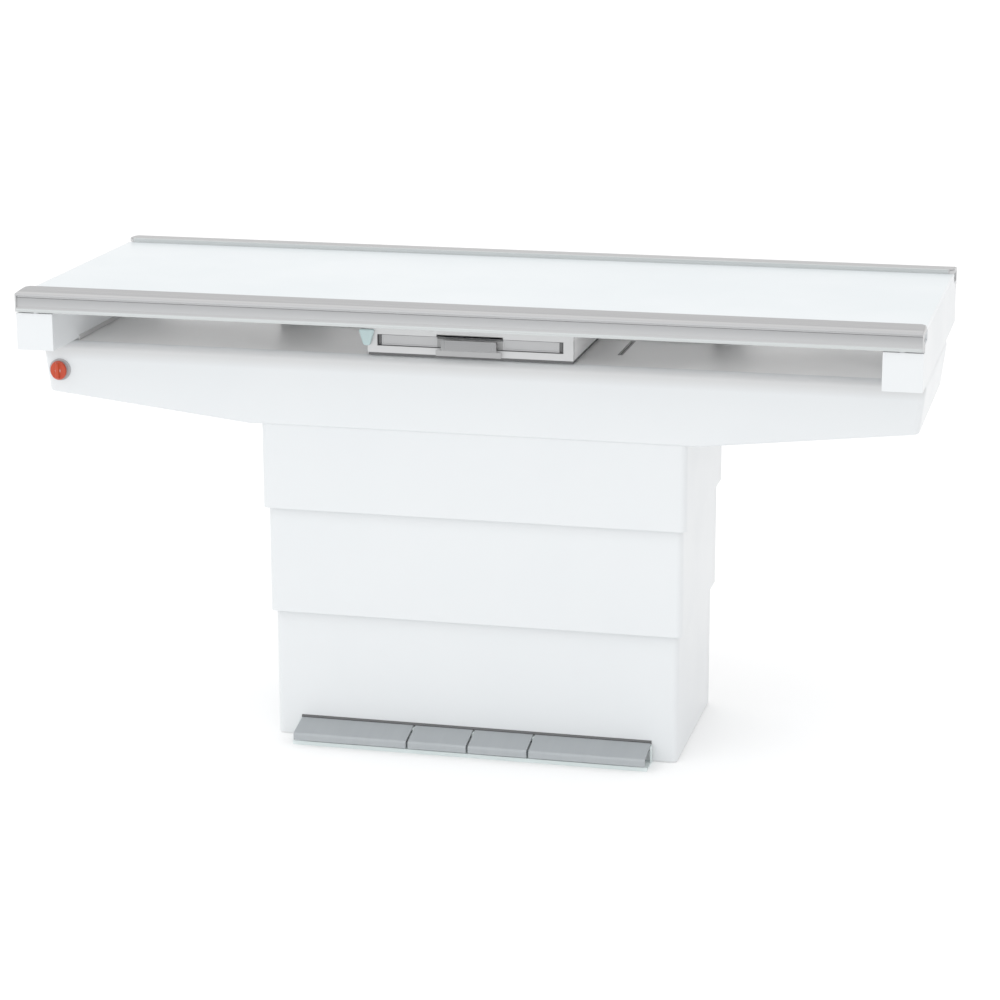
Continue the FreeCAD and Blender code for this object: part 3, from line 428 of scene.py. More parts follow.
drawnFinishes = {
    "rail_aluminium": {"colours": ((0.335, 0.335, 0.34), (0.36, 0.36, 0.365)), "rubbed": grey(0.44),
                       "shader": {"Metallic": 0.7}},
    # painted shade on the rail's face, darker towards its top
    "railFace": {"colours": ((0.315, 0.315, 0.32), (0.34, 0.34, 0.345)), "rubbed": grey(0.44),
                 "fade": (1.013, 1.031, (0.24, 0.24, 0.245)), "shader": {"Metallic": 0.7}},
    # painted shade: darker copies of the rail's aluminium on the inner top band and in the groove
    "railTop": {"colours": ((0.215, 0.215, 0.22), (0.24, 0.24, 0.245)), "rubbed": grey(0.36),
                "shader": {"Metallic": 0.6}},
    "railGroove": {"colours": ((0.315, 0.315, 0.32), (0.34, 0.34, 0.345)), "rubbed": grey(0.36),
                   "shader": {"Metallic": 0.6}},
    # the bead is polished and smoother; its lighter tone is a painted highlight
    "railBead": {"colours": ((0.38, 0.40, 0.40), (0.41, 0.43, 0.43)), "roughness": (0.25, 0.35),
                 "shader": {"Metallic": 0.5}},
    "pullGrey": {"colours": ((0.175, 0.175, 0.178), (0.20, 0.20, 0.203)), "stretch": (0.02, 1.0, 1.0),
                 "rubbed": grey(0.4), "roughness": (0.35, 0.45), "shader": {"Metallic": 0.4}},
    "tray_steel": {"colours": ((0.40, 0.405, 0.41), (0.445, 0.445, 0.45)), "stretch": (1.0, 0.01, 1.0),
                   "shader": {"Metallic": 0.9}},
    "grid_aluminium": {"colours": ((0.38, 0.39, 0.395), (0.475, 0.475, 0.48)), "lines": 900.0,
                       "stretch": (1.0, 0.002, 1.0), "shader": {"Metallic": 0.9}},
    "rail_steel": {"colours": ((0.40, 0.40, 0.405), (0.475, 0.475, 0.48)), "roughness": (0.2, 0.32),
                   "shader": {"Metallic": 1.0}},
    "bronze": {"colours": ((0.33, 0.215, 0.095), (0.435, 0.29, 0.14)), "rubbed": (0.55, 0.41, 0.24),
               "shader": {"Metallic": 1.0}},
    "pedal_grey": {"colours": ((0.262, 0.284, 0.30), (0.29, 0.312, 0.328)), "stretch": (1.0, 0.02, 0.02),
                   "roughness": (0.4, 0.55), "dust": 0.03, "rub": 0.25, "rubbed": grey(0.47),
                   "shader": {"Metallic": 0.35}},
}
mouldedFinishes = {
    "rail_cap_grey": {"colours": ((0.43, 0.433, 0.438), (0.45, 0.45, 0.456))},
    # grey of the cable slot's rim and of the tray front behind the pull, and painted shade on the plate in
    # the finger slot
    "slotAndShadeGrey": {"colours": (grey(0.19), grey(0.21))},
    # painted shade: the grey of the strips under the beams
    "shadeStripGrey": {"colours": ((0.42, 0.42, 0.422), (0.45, 0.45, 0.452)), "roughness": (0.7, 0.8),
                  "rubbed": grey(0.45), "dust": 0.05},
    "collarGrey": {"colours": ((0.28, 0.262, 0.268), (0.31, 0.29, 0.296))},
    "glide_plastic": {"colours": ((0.585, 0.577, 0.545), (0.553, 0.545, 0.515))},
    "black_plastic": {"colours": ((0.028, 0.028, 0.03), (0.042, 0.042, 0.044)), "rubbed": grey(0.08),
                      "dust": 0.08},
    "pale_strip": {"colours": ((0.57, 0.655, 0.655), (0.593, 0.67, 0.67)), "rubbed": (0.67, 0.71, 0.71),
                   "dust": 0.05},
    "lever_cyan": {"colours": ((0.32, 0.445, 0.45), (0.345, 0.465, 0.475)), "rubbed": (0.5, 0.6, 0.6),
                   "roughness": (0.3, 0.4)},
    "stop_red": {"colours": ((0.36, 0.022, 0.008), (0.42, 0.032, 0.010)), "rubbed": (0.55, 0.12, 0.06),
                 "roughness": (0.3, 0.4), "relief": 0.05, "shader": {"Specular IOR Level": 0.14}},
}
materials = {}
for finishPattern, usual, family in ((paintedPattern, painted, paintedFinishes),
                                     (drawnPattern, drawn, drawnFinishes),
                                     (mouldedPattern, moulded, mouldedFinishes)):
    for slotName, changes in family.items():
        materials[slotName] = makeFinish(slotName, {**usual, **changes}, finishPattern)
print("materials ready:", len(materials))
nodeSlot = {name: node.material_slots[0].material.name.split(".")[0] for name, node in frame["nodes"].items()}


# modelling helpers; lengths in millimetres, meshes in metres
beyond = 1  # how far a cutter reaches past what it cuts
square = 0.9  # how closely a normal follows an axis when its face counts as facing that way
near = 0.1  # how far from a plane still counts as on it


def nodeBox(node):
    low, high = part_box(node)
    return low / mm, high / mm


def nodeBody(node):
    return frame["nodes"][node]["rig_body"]


def deselectAll():
    if bpy.context.object is not None and bpy.context.object.mode != "OBJECT":
        bpy.ops.object.mode_set(mode="OBJECT")
    bpy.ops.object.select_all(action="DESELECT")


def makeActive(piece):
    deselectAll()
    piece.select_set(True)
    bpy.context.view_layer.objects.active = piece


def applyPlace(piece):
    makeActive(piece)
    bpy.ops.object.transform_apply(location=True, rotation=True, scale=True)


def addBlock(name, low, high):
    deselectAll()
    low = Vector(low) * mm
    high = Vector(high) * mm
    bpy.ops.mesh.primitive_cube_add(size=1, location=(low + high) / 2, scale=high - low)
    piece = bpy.context.object
    piece.name = name
    applyPlace(piece)
    return piece


def addRound(name, radius, start, length, direction=(0, 1, 0), vertices=48):
    deselectAll()
    way = Vector(direction)
    middle = (Vector(start) + way * length / 2) * mm
    bpy.ops.mesh.primitive_cylinder_add(vertices=vertices, radius=radius * mm, depth=length * mm,
                                        location=middle, rotation=way.to_track_quat("Z", "Y").to_euler())
    piece = bpy.context.object
    piece.name = name
    applyPlace(piece)
    return piece


def edit(piece, kind="FACE"):
    makeActive(piece)
    bpy.ops.object.mode_set(mode="EDIT")
    bpy.ops.mesh.select_mode(type=kind)
    bpy.ops.mesh.select_all(action="DESELECT")


def leaveEdit():
    bpy.ops.object.mode_set(mode="OBJECT")


def selectMesh():
    bpy.ops.mesh.select_all(action="SELECT")


def turnOutwards():
    selectMesh()
    bpy.ops.mesh.normals_make_consistent(inside=False)
    leaveEdit()


def showPicked(piece, mesh):
    mesh.select_flush_mode()
    bmesh.update_edit_mesh(piece.data)


def pickFaces(piece, test):
    mesh = bmesh.from_edit_mesh(piece.data)
    for face in mesh.faces:
        face.select_set(bool(test(face.calc_center_median() / mm, face.normal)))
    showPicked(piece, mesh)


def pickEdges(piece, test):
    mesh = bmesh.from_edit_mesh(piece.data)
    for edge in mesh.edges:
        edge.select_set(False)
    for edge in mesh.edges:
        start, end = (v.co / mm for v in edge.verts)
        if test((start + end) / 2, (end - start).normalized()):
            edge.select_set(True)
    showPicked(piece, mesh)


def pickPoints(piece, test):
    mesh = bmesh.from_edit_mesh(piece.data)
    for point in mesh.verts:
        point.select_set(bool(test(point.co / mm)))
    showPicked(piece, mesh)


def cutPlane(place, normal):
    selectMesh()
    bpy.ops.mesh.bisect(plane_co=Vector(place) * mm, plane_no=normal)
    bpy.ops.mesh.select_all(action="DESELECT")


def push(x=0, y=0, z=0):
    bpy.ops.mesh.extrude_region_move(TRANSFORM_OT_translate={"value": (x * mm, y * mm, z * mm)})


def shift(x=0, y=0, z=0):
    bpy.ops.transform.translate(value=(x * mm, y * mm, z * mm))


outlineCorner = {"reach": 0.02, "perLength": 1.5, "fewest": 2, "most": 10}


def drawOutline(name, points, direction, length):
    # points are (place, radius); the outline is drawn point by point, rounded, then pushed along
    deselectAll()
    start = Vector(points[0][0])
    bpy.ops.mesh.primitive_plane_add(size=1 * mm, location=start * mm)
    piece = bpy.context.object
    piece.name = name
    applyPlace(piece)
    edit(piece, "VERT")
    selectMesh()
    bpy.ops.mesh.merge(type="CENTER")
    for (before, _), (place, _) in zip(points, points[1:]):
        step = (Vector(place) - Vector(before)) * mm
        bpy.ops.mesh.extrude_vertices_move(TRANSFORM_OT_translate={"value": step})
    selectMesh()
    bpy.ops.mesh.edge_face_add()
    fewest, most = outlineCorner["fewest"], outlineCorner["most"]
    for radius in sorted({radius for _, radius in points if radius}):
        corners = [Vector(place) for place, size in points if size == radius]
        pickPoints(piece, lambda co: any((co - corner).length < outlineCorner["reach"] for corner in corners))
        segments = max(fewest, min(most, round(radius * outlineCorner["perLength"]) + fewest))
        bpy.ops.mesh.bevel(offset=radius * mm, segments=segments, affect="VERTICES")
    selectMesh()
    way = Vector(direction) * length * mm
    bpy.ops.mesh.extrude_region_move(TRANSFORM_OT_translate={"value": way})
    turnOutwards()
    return piece


def applyModifier(piece, kind, **values):
    makeActive(piece)
    modifier = piece.modifiers.new(kind.lower(), kind)
    for label, value in values.items():
        setattr(modifier, label, value)
    bpy.ops.object.modifier_apply(modifier=modifier.name)


def soften(piece, width, segments=2, angle=35):
    applyModifier(piece, "BEVEL", width=width * mm, segments=segments, limit_method="ANGLE",
                  angle_limit=radians(angle), use_clamp_overlap=True)


def combine(piece, other, operation="DIFFERENCE"):
    applyModifier(piece, "BOOLEAN", operation=operation, object=other, solver="EXACT")
    bpy.data.objects.remove(other)


def cutBlock(piece, low, high):
    low, high = ([pick(pair) for pair in zip(low, high)] for pick in (min, max))
    combine(piece, addBlock("cutter", low, high))


def joined(name, pieces):
    makeActive(pieces[0])
    for piece in pieces[1:]:
        piece.select_set(True)
    bpy.ops.object.join()
    whole = bpy.context.object
    whole.name = name
    return whole


def twinOf(piece, name):
    twin = piece.copy()
    twin.data = piece.data.copy()
    twin.name = name
    bpy.context.scene.collection.objects.link(twin)
    return twin


def copied(piece, name, place):
    twin = twinOf(piece, name)
    twin.location = Vector(place) * mm
    applyPlace(twin)
    return twin


def mirrored(piece, name, axis):
    twin = twinOf(piece, name)
    twin.scale[axis] = -1
    applyPlace(twin)
    edit(twin, "VERT")
    turnOutwards()
    return twin


def finishPiece(piece, body, slotName, replaced=(), smooth=42):
    makeActive(piece)
    bpy.ops.object.shade_smooth_by_angle(angle=radians(smooth))
    applyModifier(piece, "WEIGHTED_NORMAL", keep_sharp=True)
    piece.data.materials.clear()
    piece.data.materials.append(materials[slotName])
    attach(piece, body)
    if replaced:
        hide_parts(*replaced)
    return piece


def paintWhole(piece, finishName):
    piece.data.materials[0] = materials[finishName]


def paintFaces(piece, finishNames, choose):
    # choose gives 0 for the piece's own finish, or the place of another in the list
    for finishName in finishNames:
        piece.data.materials.append(materials[finishName])
    for face in piece.data.polygons:
        face.material_index = choose(face)


softCopying = {"merge": 0.01, "flat": 0.6}
otherNames = {"grid": "gridPlate"}


def pieceNameOf(node):
    # left_end_beam is drawn as leftEndBeam
    first, *rest = node.split("_")
    return otherNames.get(node, first + "".join(word.capitalize() for word in rest))


def softCopy(node, width, segments=2, angle=35):
    # a merged copy of a CAD node, with its flat faces whole and its sharp edges rounded
    piece = bpy.data.objects.new(pieceNameOf(node), frame["nodes"][node].data.copy())
    bpy.context.scene.collection.objects.link(piece)
    edit(piece, "VERT")
    selectMesh()
    bpy.ops.mesh.remove_doubles(threshold=softCopying["merge"] * mm)
    bpy.ops.mesh.dissolve_limited(angle_limit=radians(softCopying["flat"]))
    bpy.ops.mesh.customdata_custom_splitnormals_clear()
    leaveEdit()
    if width:
        soften(piece, width, segments, angle)
    return piece


def refine(node, width, segments=2, angle=35):
    return finishPiece(softCopy(node, width, segments, angle), nodeBody(node), nodeSlot[node], (node,))


screwHead = {"sides": 20, "round": 0.5, "socket": 0.5, "socketFloor": 0.4, "sharp": 50}


def addScrews(name, body, way, radius, high, places):
    # low round heads with a hexagon socket, modelled once and copied
    way = Vector(way)
    first = addRound("screw", radius, (0, 0, 0), high, way, screwHead["sides"])
    soften(first, high * screwHead["round"], 2, screwHead["sharp"])
    floorPlace = way * high * screwHead["socketFloor"]
    combine(first, addRound("cutter", radius * screwHead["socket"], floorPlace, high, way, 6))
    screws = [copied(first, "screw", place) for place in places]
    bpy.data.objects.remove(first)
    finishPiece(joined(name, screws), body, "rail_steel")


# tabletop
panel = {"rebate": 1, "lipGap": 0.5, "softEdge": 0.5}


def buildPanel():
    low, high = nodeBox("tabletop_panel")
    halfFace = -nodeBox("front_rail")[1].y - panel["lipGap"]
    piece = addBlock("tabletopPanel", low, (high.x, high.y, high.z - panel["rebate"]))
    edit(piece)
    cutPlane((0, halfFace, 0), (0, 1, 0))
    cutPlane((0, -halfFace, 0), (0, 1, 0))
    pickFaces(piece, lambda co, normal: normal.z > square and abs(co.y) < halfFace / 2)
    push(z=panel["rebate"])
    leaveEdit()
    soften(piece, panel["softEdge"])
    finishPiece(piece, "tabletop", "panel_white", ("tabletop_panel",))
    # the underside gets the whiter, painted-light copy of the panel's finish
    paintFaces(piece, ["panelUnder"], lambda face: 1 if face.normal.z < -square else 0)


rail = {
    # depth from the outer edge, height from the underside, corner radius
    "section": [
        (0, 0, 0.8), (0, 7, 1.2), (4, 13, 1.5), (4, 31.5, 0.6), (6, 32.5, 0.3), (6, 35.5, 0.3),
        (0, 36.5, 1.0), (0, 40.5, 1.6), (2, 42, 1.2), (15, 43.41, 0), (26, 44.6, 0.4), (27, 43.9, 0.3),
        (28, 44.9, 0.4), (68, 47, 1.0), (70, 45.5, 0.5), (70, 35, 0.2), (67, 35, 0.2), (67, 44, 0.6),
        (9, 39, 1.0), (9, 16, 0.6), (50, 16, 0.2), (50, 13, 0.2), (9, 13, 0.6), (9, 3, 0.6), (24, 3, 0.2),
        (24, 0, 0.4)],
    "cornerCut": 14, "cutPast": 3, "smooth": 30,
    # heights and depths that part the rail's lit and shaded bands (painted shade on the groove and the inner
    # top band, a painted highlight on the bead), and how far a face has to lean to count as such
    "beadTop": 9.5, "groove": (31.6, 41.4), "innerBand": 15.5, "innerLip": 67.5,
    "outward": 0.15, "inward": 0.3, "upward": 0.8}


def buildRail(node, side):
    low, high = nodeBox(node)
    edge = max(abs(low.y), abs(high.y))
    points = [((low.x, side * (edge - depth), low.z + up), radius) for depth, up, radius in rail["section"]]
    piece = drawOutline(pieceNameOf(node), points, (1, 0, 0), high.x - low.x)
    inner = edge - (high.y - low.y)
    cut = rail["cornerCut"]
    for end in (-1, 1):
        tip = end * (high.x + rail["cutPast"])
        outline = [((tip, side * (inner - beyond), low.z - beyond), 0),
                   ((tip - end * (cut + beyond), side * (inner - beyond), low.z - beyond), 0),
                   ((tip, side * (inner + cut), low.z - beyond), 0)]
        combine(piece, drawOutline("cutter", outline, (0, 0, 1), high.z - low.z + 2 * beyond))
    finishPiece(piece, "tabletop", "rail_aluminium", (node,), rail["smooth"])

    def band(face):
        up = face.center.z / mm - low.z
        depth = edge - side * face.center.y / mm
        out = side * face.normal.y
        grooveFoot, grooveTop = rail["groove"]
        if out > rail["outward"] and up < grooveTop:
            return 1 if up < rail["beadTop"] else 2 if up > grooveFoot else 3
        if out < -rail["inward"] and depth > rail["innerLip"]:
            return 1
        return 4 if face.normal.z > rail["upward"] and depth > rail["innerBand"] else 0

    # the rail's faces get lit and shaded copies of its finish
    paintFaces(piece, ["railBead", "railGroove", "railFace", "railTop"], band)


cap = {"thick": 3, "softEdge": 0.5, "screwRadius": 2.6, "screwHigh": 0.6, "screws": [(5.3, 24), (16, 6.5)],
       # depth from the outer edge, height from the underside
       "section": [(0.5, 0), (0.5, 40), (2.5, 41.5), (53, 45.3), (53, 35), (10, 35), (10, 13), (24, 13),
                   (24, 0)],
       # distance from the end, depth, for the plug behind the lip's cut corner
       "plug": [(0, 53), (0, 55.7), (11.3, 67), (14.5, 67), (3, 55.5)], "plugHeights": (35.1, 42.6)}


def buildRailCaps():
    low, high = nodeBox("rail_caps")
    edge = -nodeBox("front_rail")[0].y
    points = [((high.x - cap["thick"], depth - edge, low.z + up), 0) for depth, up in cap["section"]]
    plate = drawOutline("capPlate", points, (1, 0, 0), cap["thick"])
    soften(plate, cap["softEdge"])
    start, end = cap["plugHeights"]
    points = [((high.x - back, depth - edge, low.z + start), 0) for back, depth in cap["plug"]]
    plug = drawOutline("capPlug", points, (0, 0, 1), end - start)
    right = joined("rightCap", [plate, plug])
    caps = [right, mirrored(right, "rearCap", 1)]
    caps += [mirrored(piece, "leftCap", 0) for piece in list(caps)]
    finishPiece(joined("railCaps", caps), "tabletop", "rail_cap_grey", ("rail_caps",))
    for end, name in ((1, "capScrewsRight"), (-1, "capScrewsLeft")):
        places = [(end * (high.x - cap["screwHigh"]), side * (edge - depth), low.z + up)
                  for side in (-1, 1) for depth, up in cap["screws"]]
        addScrews(name, "tabletop", (end, 0, 0), cap["screwRadius"], cap["screwHigh"], places)


buildPanel()
buildRail("front_rail", -1)
buildRail("rear_rail", 1)
buildRailCaps()
refine("right_end_beam", 1.5, 3)
refine("left_end_beam", 1.5, 3)

beamShadeStrip = {"half": 234,
             # distance into the gap from the beam's inner face, height from the beam's underside
             "section": [(-0.6, 6), (1.6, 6), (2, 5.2), (2, -1.5), (1.2, -4.6), (-1.2, -4.6), (-2, -0.5),
                         (-0.6, -0.5)]}


def buildBeamShadeStrips():
    # a brush-like strip in a thin holder along the inner edge of each beam, just clear of the deck; it stands
    # in for the shadow gap between beam and deck, as painted shade
    high, low = nodeBox("left_end_beam")[1].x, nodeBox("left_end_beam")[0].z
    points = [((high + out, -beamShadeStrip["half"], low + up), 0) for out, up in beamShadeStrip["section"]]
    left = drawOutline("leftBrush", points, (0, 1, 0), 2 * beamShadeStrip["half"])
    right = mirrored(left, "rightBrush", 0)
    brushes = finishPiece(joined("beamBrushes", [left, right]), "tabletop", "black_plastic")
    paintWhole(brushes, "shadeStripGrey")


buildBeamShadeStrips()
print("tabletop built")


# body covers
bentSheet = 50  # only edges sharper than this are rounded on bent sheet, so its bends stay as they are
bodyCovers = {"front_cover": 0.6, "rear_cover": 0.6, "end_covers": 0.6, "deck_pan": 0.5, "bottom_pans": 0.5}
for nodeName, edgeWidth in bodyCovers.items():
    cover = refine(nodeName, edgeWidth, 2, bentSheet)
    # the front and end covers carry the painted shadow on the shoulder
    if nodeName in ("front_cover", "end_covers"):
        paintWhole(cover, "shoulderShadowWhite")
bodyScrews = {"radius": 5, "high": 2.4, "places": (-860, -430, 0, 430, 860), "height": 835, "keel": 756,
              "keelPlaces": (-400, -130, 130, 400)}
rearFace = nodeBox("rear_cover")[1].y
addScrews("rearCoverScrews", "table_body", (0, 1, 0), bodyScrews["radius"], bodyScrews["high"],
          [(x, rearFace, bodyScrews["height"]) for x in bodyScrews["places"]]
          + [(x, rearFace, bodyScrews["keel"]) for x in bodyScrews["keelPlaces"]])

cableSlot = {"low": (308.5, -123), "high": (313.5, 26), "rim": 3, "rimHigh": 1.2, "softEdge": 0.4,
             "gap": 0.1, "sunk": 0.3, "fill": 4.4, "tufts": 30, "tuftDrop": 0.8}


def buildCableSlot():
    # a rim round the slot in the deck, and the brush that closes it
    deck = nodeBox("deck_pan")[1].z
    (x0, y0), (x1, y1) = cableSlot["low"], cableSlot["high"]
    rim, rimTop = cableSlot["rim"], deck + cableSlot["rimHigh"]
    ring = addBlock("cableSlotRim", (x0 - rim, y0 - rim, deck), (x1 + rim, y1 + rim, rimTop))
    cutBlock(ring, (x0, y0, deck - beyond), (x1, y1, rimTop + beyond))
    soften(ring, cableSlot["softEdge"])
    finishPiece(ring, "table_body", "rail_cap_grey")
    paintWhole(ring, "slotAndShadeGrey")
    gap, tufts = cableSlot["gap"], cableSlot["tufts"]
    bottom, top = deck - cableSlot["fill"], deck - cableSlot["sunk"]
    brush = addBlock("cableSlotBrush", (x0 + gap, y0 + gap, bottom), (x1 - gap, y1 - gap, top))
    edit(brush)
    for step in range(1, tufts):
        cutPlane((0, y0 + step * (y1 - y0) / tufts, 0), (0, 1, 0))
    middle = (bottom + top) / 2
    pickPoints(brush, lambda co: co.z > middle and round((co.y - y0) / (y1 - y0) * tufts) % 2 == 0)
    shift(z=-cableSlot["tuftDrop"])
    leaveEdit()
    finishPiece(brush, "table_body", "black_plastic")


buildCableSlot()
print("body covers built")


# column covers
seams = {"front": 17, "rear": (22, 40), "width": 1.4, "deep": 0.8, "softEdge": 0.25}
coverScrews = {"radius": 4, "high": 2, "fromEdge": 60, "up": 22}


def buildCover(node):
    low, high = nodeBox(node)
    piece = softCopy(node, 0)
    for side in (-1, 1):
        outer = side * high.x
        for y in [low.y + seams["front"]] + [high.y - gap for gap in seams["rear"]]:
            cutBlock(piece, (outer - side * seams["deep"], y, low.z - beyond),
                     (outer + side * beyond, y + seams["width"], high.z + beyond))
    soften(piece, seams["softEdge"], 2, bentSheet)
    finishPiece(piece, nodeBody(node), nodeSlot[node], (node,))


def addCoverScrews(node):
    low, high = nodeBox(node)
    inset, height = coverScrews["fromEdge"], low.z + coverScrews["up"]
    addScrews(pieceNameOf(node) + "Screws", nodeBody(node), (0, 1, 0), coverScrews["radius"],
              coverScrews["high"], [(x, high.y, height) for x in (low.x + inset, 0, high.x - inset)])


columnCovers = ("upper_cover", "middle_cover", "lower_cover")
for nodeName in columnCovers:
    buildCover(nodeName)
for nodeName in columnCovers:
    addCoverScrews(nodeName)
print("column covers built")


# foot pedals
pedal = {"back": -226, "toe": -297, "rearTop": 45, "frontTop": 30, "foot": 13, "sheet": 3, "bend": 5,
         "corner": 0.8, "backCorner": 1, "pin": (-232, 35), "pinRoom": 4.1, "pinSides": 32,
         "knuckle": 7, "knuckleInset": 0.7, "knuckleSides": 40, "softEdge": 0.5}


def buildPedal(node):
    low, high = nodeBox(node)
    back, toe, sheet, corner = pedal["back"], pedal["toe"], pedal["sheet"], pedal["corner"]
    slope = (pedal["rearTop"] - pedal["frontTop"]) / (back - toe)
    under = pedal["frontTop"] + slope * sheet - sheet
    outline = [(back, pedal["rearTop"], pedal["backCorner"]), (toe, pedal["frontTop"], pedal["bend"]),
               (toe, pedal["foot"], corner), (toe + sheet, pedal["foot"], corner),
               (toe + sheet, under, pedal["bend"] - sheet), (back, pedal["rearTop"] - sheet, corner)]
    points = [((low.x, y, z), radius) for y, z, radius in outline]
    piece = drawOutline(pieceNameOf(node), points, (1, 0, 0), high.x - low.x)
    soften(piece, pedal["softEdge"])
    y, z = pedal["pin"]
    for name, radius, start, sides, operation in (
            ("knuckle", pedal["knuckle"], low.x + pedal["knuckleInset"], pedal["knuckleSides"], "UNION"),
            ("cutter", pedal["pinRoom"], low.x - beyond, pedal["pinSides"], "DIFFERENCE")):
        length = high.x - low.x - 2 * (start - low.x)
        combine(piece, addRound(name, radius, (start, y, z), length, (1, 0, 0), sides), operation)
    finishPiece(piece, nodeBody(node), "pedal_grey", (node,))


for nodeName in ("pedal_float_left", "pedal_down", "pedal_up", "pedal_float_right"):
    buildPedal(nodeName)

# a dark strip along the cover behind the pedals, painted shade for the gap between the treads and the cover
pedalSeal = {"half": 409, "section": [(-221, 42.5, 0), (-221, 50, 0.5), (-223.2, 50, 1.4), (-225, 46, 0.8),
                                      (-224.4, 42.5, 0.5)]}
shadowStripPoints = [((-pedalSeal["half"], y, z), radius) for y, z, radius in pedalSeal["section"]]
finishPiece(drawOutline("pedalSeal", shadowStripPoints, (1, 0, 0), 2 * pedalSeal["half"]), "base", "black_plastic")
refine("pedal_bracket", 0.8)
print("pedals built")


# bucky: front frame, tray front, pull, lever and seals; places are (x, z)
paintWhole(refine("bucky_bezel", 1.4, 3), "bezelWhite")
trim = {"low": (-210, 931), "high": (210, 957), "face": -249, "back": -240, "side": 1.5, "thick": 1.2,
        "notch": ((-75, 954), (75, 960)), "softEdge": 0.3}


def buildTrim():
    # dark edging inside the frame's opening, open above for the fingers; painted shade for the shadow line
    # round the tray front
    (x0, z0), (x1, z1) = trim["low"], trim["high"]
    side, thick, front, rear = trim["side"], trim["thick"], trim["face"] - beyond, trim["back"] + beyond
    piece = addBlock("openingTrim", (x0, trim["face"], z0), (x1, trim["back"], z1))
    cutBlock(piece, (x0 + side, front, z0 + thick), (x1 - side, rear, z1 - thick))
    (x0, z0), (x1, z1) = trim["notch"]
    cutBlock(piece, (x0, front, z0), (x1, rear, z1))
    soften(piece, trim["softEdge"])
    finishPiece(piece, "bucky", "black_plastic")


recess = {"half": 77, "face": -236.4, "thick": 1.1, "low": 957.8, "high": 964, "softEdge": 0.3}


def buildFingerRecess():
    # a dark plate behind the finger slot, above the way of the tray: painted shade for the slot's depth
    piece = addBlock("fingerRecess", (-recess["half"], recess["face"], recess["low"]),
                     (recess["half"], recess["face"] + recess["thick"], recess["high"]))
    soften(piece, recess["softEdge"])
    paintWhole(finishPiece(piece, "bucky", "black_plastic"), "slotAndShadeGrey")


tray = {"split": 74, "frame": 3, "panelDeep": 1.2, "softEdge": 0.4,
        # the slot's half width, foot and depth, and what of it is painted dark as the slot's shade
        "slotHalf": 75, "slotFoot": 952, "slotDeep": 2.4, "darkHalf": 74.5, "darkFoot": 951.5,
        "padReach": 207.6, "padFace": -245.6, "padBack": -242.2, "padInset": 1, "padSoft": 0.8}


def buildTrayFront():
    low, high = nodeBox("tray_front")
    piece = addBlock("trayFront", low, high)
    edit(piece)
    for x in (-tray["split"], tray["split"]):
        cutPlane((x, 0, 0), (1, 0, 0))
    for side in (-1, 1):
        pickFaces(piece, lambda co, normal: normal.y < -square and side * co.x > tray["split"])
        bpy.ops.mesh.inset(thickness=tray["frame"] * mm)
        push(y=tray["panelDeep"])
        bpy.ops.mesh.select_all(action="DESELECT")
    leaveEdit()
    cutBlock(piece, (-tray["slotHalf"], low.y - beyond, tray["slotFoot"]),
             (tray["slotHalf"], low.y + tray["slotDeep"], high.z + beyond))
    soften(piece, tray["softEdge"])
    finishPiece(piece, "cassette_tray", "tray_grey", ("tray_front",))

    def shade(face):
        if abs(face.center.x / mm) > tray["darkHalf"] or abs(face.normal.z) > square:
            return 0
        return 1 if face.center.z / mm > tray["darkFoot"] else 2

    # painted shade: black on the finger slot's faces; the face behind the pull gets the darker slot grey
    paintFaces(piece, ["black_plastic", "slotAndShadeGrey"], shade)
    # black pads at the opening's ends, painted shade for the dark slits beside the tray front
    pads = []
    for side in (-1, 1):
        x0, x1 = sorted((side * high.x, side * tray["padReach"]))
        pads.append(addBlock("pad", (x0, tray["padFace"], low.z + tray["padInset"]),
                             (x1, tray["padBack"], high.z - tray["padInset"])))
        soften(pads[-1], tray["padSoft"], 3)
    finishPiece(joined("trayEndPads", pads), "cassette_tray", "black_plastic")


pull = {"half": 62, "lipHalf": 74, "lipTop": 929.5, "lipRise": 3, "sheet": 3, "softEdge": 0.5,
        "topCorner": 2.5, "innerCorner": 1, "lipCorner": 2,
        # the flanges behind it, sunk a little into it: a turned edge at each side and a shelf between
        "sunk": 0.5, "edge": 2, "flange": 9, "edgeFoot": 2, "edgeTop": 3, "shelfInset": 1, "shelf": (12, 9),
        # the creases pressed into its face
        "crease": 53, "line": 0.6}


